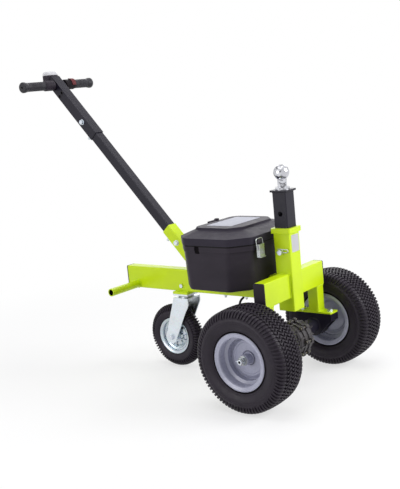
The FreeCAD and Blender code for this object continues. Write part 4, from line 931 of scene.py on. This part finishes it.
def motor_trim():
    """Rolled bands, ribs, through bolts and the cable gland nut of the motor."""
    front_band, rear_band, end_face, ribs, bolts = -94.0, -226.0, -236.0, 18, 4
    shell_r, bolt_circle = 44.0, 40.5
    b = Builder()
    band = [(-5.0, 44.0), (-5.0, 45.6), (-4.2, 46.4), (-1.0, 46.4), (0.0, 45.8), (1.0, 46.4),
            (4.2, 46.4), (5.0, 45.6), (5.0, 44.0)]
    for x in (front_band, rear_band):
        spin_about(b, band, (x, 0, MOTOR_Z), X, 96)
    for k in range(ribs):
        radial = outward(Y, Z, TAU * k / ribs)
        if radial.z < 0.75:       # the cable gland sits on top
            foot = Vector((0, 0, MOTOR_Z)) + radial * shell_r
            rib(b, foot + X * (front_band - 12), foot + X * (rear_band + 12), radial, 3.0, 3.2)
    add_piece("motor_bands", b, "black_paint", "frame")
    b = Builder()
    for k in range(bolts):
        turn = TAU * (k + 0.5) / bolts
        at = (end_face, bolt_circle * math.cos(turn), MOTOR_Z + bolt_circle * math.sin(turn))
        hexagon_head(b, at, -X, 8.0, 4.5)
    add_piece("motor_end_bolts", b, "zinc_plate", "frame")
    b = Builder()
    hexagon_head(b, (-219.0, 16.0, 220.0), Z, 17.0, 9.0)
    add_piece("motor_gland_nut", b, "black_plastic", "frame")


# ------------------------------------------------------------------ handle, pipe and box
def grip(side, name, start):
    """Rubber sleeve with shallow flutes, collar beads, a flared end and a vent in the end."""
    end, radius, flare = 173.0, 16.5, 19.5
    segments, steps, flutes = 144, 14, 24
    fluted_from, fluted_to = start + 11.0, end - 31.0
    fluted_length = fluted_to - fluted_from
    profile = [(start, 12.6), (start, radius - 1.0), (start + 0.8, radius), (start + 3.2, radius),
               (start + 4.0, radius - 1.1), (start + 4.8, radius), (start + 8.0, radius)]
    profile += [(fluted_from + fluted_length * i / steps, radius) for i in range(steps + 1)]
    profile += [(end - 26.0, radius), (end - 24.4, radius - 0.9), (end - 22.8, radius + 0.2),
                (end - 17.0, radius + 1.5), (end - 12.0, flare - 0.3), (end - 9.0, flare),
                (end - 4.0, flare), (end - 1.6, flare - 1.4), (end - 0.4, flare - 4.0),
                (end, flare - 6.5), (end, 4.6), (end - 0.8, 3.8), (end - 4.4, 3.6),
                (end - 4.4, 0.02)]
    b = Builder()
    loops = []
    for y, r in profile:
        fade = 0.0
        if fluted_from - 0.01 < y < fluted_to + 0.01:
            fade = max(0.0, min(1.0, (y - fluted_from) / 6.0, (fluted_to - y) / 6.0))
        loop = []
        for k in range(segments):
            turn = TAU * k / segments
            cut = 0.85 * fade * smooth((math.cos(turn * flutes) + 0.2) / 0.6)
            loop.append(around((BAR.x, BAR.z), r - cut, turn, side * y))
        loops.append(loop)
    b.loops(loops)
    add_piece(name + "_fluted_grip", b, "grip_rubber", "handle_top", replaces=(name + "_grip",),
              smooth_angle=35.0)


def tube_grommets():
    """Rubber rings in the two cable holes below the handlebar, and black discs in them as painted
    shade of the holes' insides.
    """
    rings, hole_shades = Builder(), Builder()
    section = [(-0.4, 5.7), (-0.4, 7.9), (0.7, 7.7), (1.3, 7.1), (1.3, 6.3), (0.6, 5.7)]
    for front in (-9.5, 9.5):
        at = GROMMETS + HANDLE_FRONT * front
        spin_about(rings, section, at - Y * TUBE_HALF, -Y, 32)
        slab(hole_shades, circle(at - Y * (TUBE_HALF + 0.02), X, Z, 6.0, 32), -Y, 0.8, 0.25)
    add_piece("tube_grommets", rings, "grip_rubber", "handle_top")
    add_piece("grommet_hole_shades", hole_shades, "shade_black", "handle_top")


def pipe_end_shades():
    """Painted shade: black cups in the open ends of the side pipe, for the dark inside it: a lip, a
    tapering wall and a domed bottom.
    """
    b = Builder()
    cup = [(162.4, 10.95), (163.0, 10.6), (162.4, 9.9), (160.0, 9.7), (126.0, 9.2), (122.0, 7.6),
           (120.6, 4.0), (120.2, 0.02), (117.0, 0.02), (117.0, 10.95)]
    for side in (-1, 1):
        spin_about(b, cup, (PIPE_X, 0.0, PIPE_Z), Y * side, 48)
    add_piece("pipe_end_shade_cups", b, "shade_black", "frame")


def paint_pocket_shade():
    """Painted shade: black plates at the backs of the two lock pockets in the tub's side walls, for
    the shade in them.
    """
    box_half, lip, pocket = 175.0, 2.0, 3.5
    face = box_half - lip - pocket
    b = Builder()
    for side in (-1, 1):
        back = rounded_rectangle((-229, side * (face + 0.02), 473.5), X, Z, 8.9, 11.9, 1.5)
        slab(b, back, Y * side, 0.4, 0.1)
    add_piece("lock_pocket_shade_plates", b, "shade_black", "frame")


for wheel in SIDES:
    drive_tyre(*wheel)
caster_tyre()
frame_welds()
dark_welds()
labels()
caster_rim()
for wheel in SIDES:
    wheel_fittings(*wheel)
gear_case_ribs()
motor_trim()
grip(1, "left", 82.0)
grip(-1, "right", 69.0)
tube_grommets()
for wheel in SIDES:
    centre_hole_shade(*wheel)
pipe_end_shades()
for wheel in SIDES:
    bead_shadow(*wheel)
paint_pocket_shade()


# ------------------------------------------------------------------ camera, light, stage
def camera():
    """The catalogue view: low, from the front right, slightly rolled."""
    azimuth, elevation, roll = math.radians(39.7), math.radians(10.1), math.radians(-5.6)
    back = Vector((math.sin(azimuth) * math.cos(elevation),
                   -math.cos(azimuth) * math.cos(elevation), math.sin(elevation)))
    right = Vector((math.cos(azimuth), math.sin(azimuth), 0.0))
    up = back.cross(right)
    across = outward(right, up, roll)
    upward = outward(up, -right, roll)
    data = bpy.data.cameras.new("camera")
    data.lens = 63.36
    data.sensor_width = 36.0
    data.clip_start, data.clip_end = 0.05, 60.0
    cam = bpy.data.objects.new("camera", data)
    bpy.context.scene.collection.objects.link(cam)
    turn = Matrix((across, upward, back)).transposed().to_4x4()
    cam.matrix_world = Matrix.Translation((1.9509, -2.2553, 0.9754)) @ turn
    bpy.context.scene.camera = cam


def area_light(name, location, target, size, power):
    data = bpy.data.lights.new(name, "AREA")
    data.shape = "RECTANGLE"
    data.size, data.size_y = size
    data.energy = power
    lamp = bpy.data.objects.new(name, data)
    bpy.context.scene.collection.objects.link(lamp)
    lamp.location = location
    lamp.rotation_mode = "QUATERNION"
    lamp.rotation_quaternion = (Vector(target) - Vector(location)).to_track_quat("-Z", "Y")


def world():
    """Dim white surroundings that look fully white to camera, glossy and transmission rays."""
    studio = bpy.data.worlds.new("studio")
    bpy.context.scene.world = studio
    n = Nodes(studio)
    soft, white = (fill(n.new("ShaderNodeBackground"), Color=(1.0, 1.0, 1.0, 1.0),
                        Strength=strength).outputs[0] for strength in (0.34, 1.0))
    n.join(n.blend(n.seen(), soft, white), n.new("ShaderNodeOutputWorld").inputs[0])


def floor():
    """Pale floor that keeps the shadow near the object and runs out to white."""
    half = 8.0
    mesh = bpy.data.meshes.new("floor")
    corners = [(-half, -half, 0), (half, -half, 0), (half, half, 0), (-half, half, 0)]
    mesh.from_pydata(corners, [], [(0, 1, 2, 3)])
    obj = bpy.data.objects.new("floor", mesh)
    bpy.context.scene.collection.objects.link(obj)
    material = bpy.data.materials.new("pale_floor")
    n = Nodes(material)
    matte = fill(n.new("ShaderNodeBsdfDiffuse"), Color=(0.93, 0.93, 0.94, 1.0)).outputs[0]
    white = n.new("ShaderNodeEmission").outputs[0]
    distance = n.new("ShaderNodeVectorMath", operation="LENGTH")
    n.join(n.new("ShaderNodeTexCoord").outputs["Object"], distance.inputs[0])
    fade = fill(n.new("ShaderNodeMapRange", interpolation_type="SMOOTHSTEP"),
                From_Min=0.75, From_Max=1.9, To_Min=0.62)
    n.join(distance.outputs["Value"], fade.inputs["Value"])
    looks = n.blend(n.seen(), matte, n.blend(fade.outputs[0], matte, white))
    n.join(looks, n.new("ShaderNodeOutputMaterial").inputs[0])
    mesh.materials.append(material)


camera()
world()
floor()
area_light("key", (3.0, 1.1, 1.8), (0.3, 0.0, 0.35), (1.8, 1.6), 77.0)
area_light("fill", (-0.8, -3.3, 1.2), (0.4, 0.0, 0.45), (2.0, 1.6), 38.0)
area_light("top", (0.1, -0.2, 3.2), (0.1, 0.0, 0.3), (2.4, 2.4), 42.0)
area_light("rim", (-1.3, 2.9, 2.1), (0.0, 0.0, 0.5), (3.0, 1.6), 34.0)
bpy.context.scene.view_settings.view_transform = "Standard"
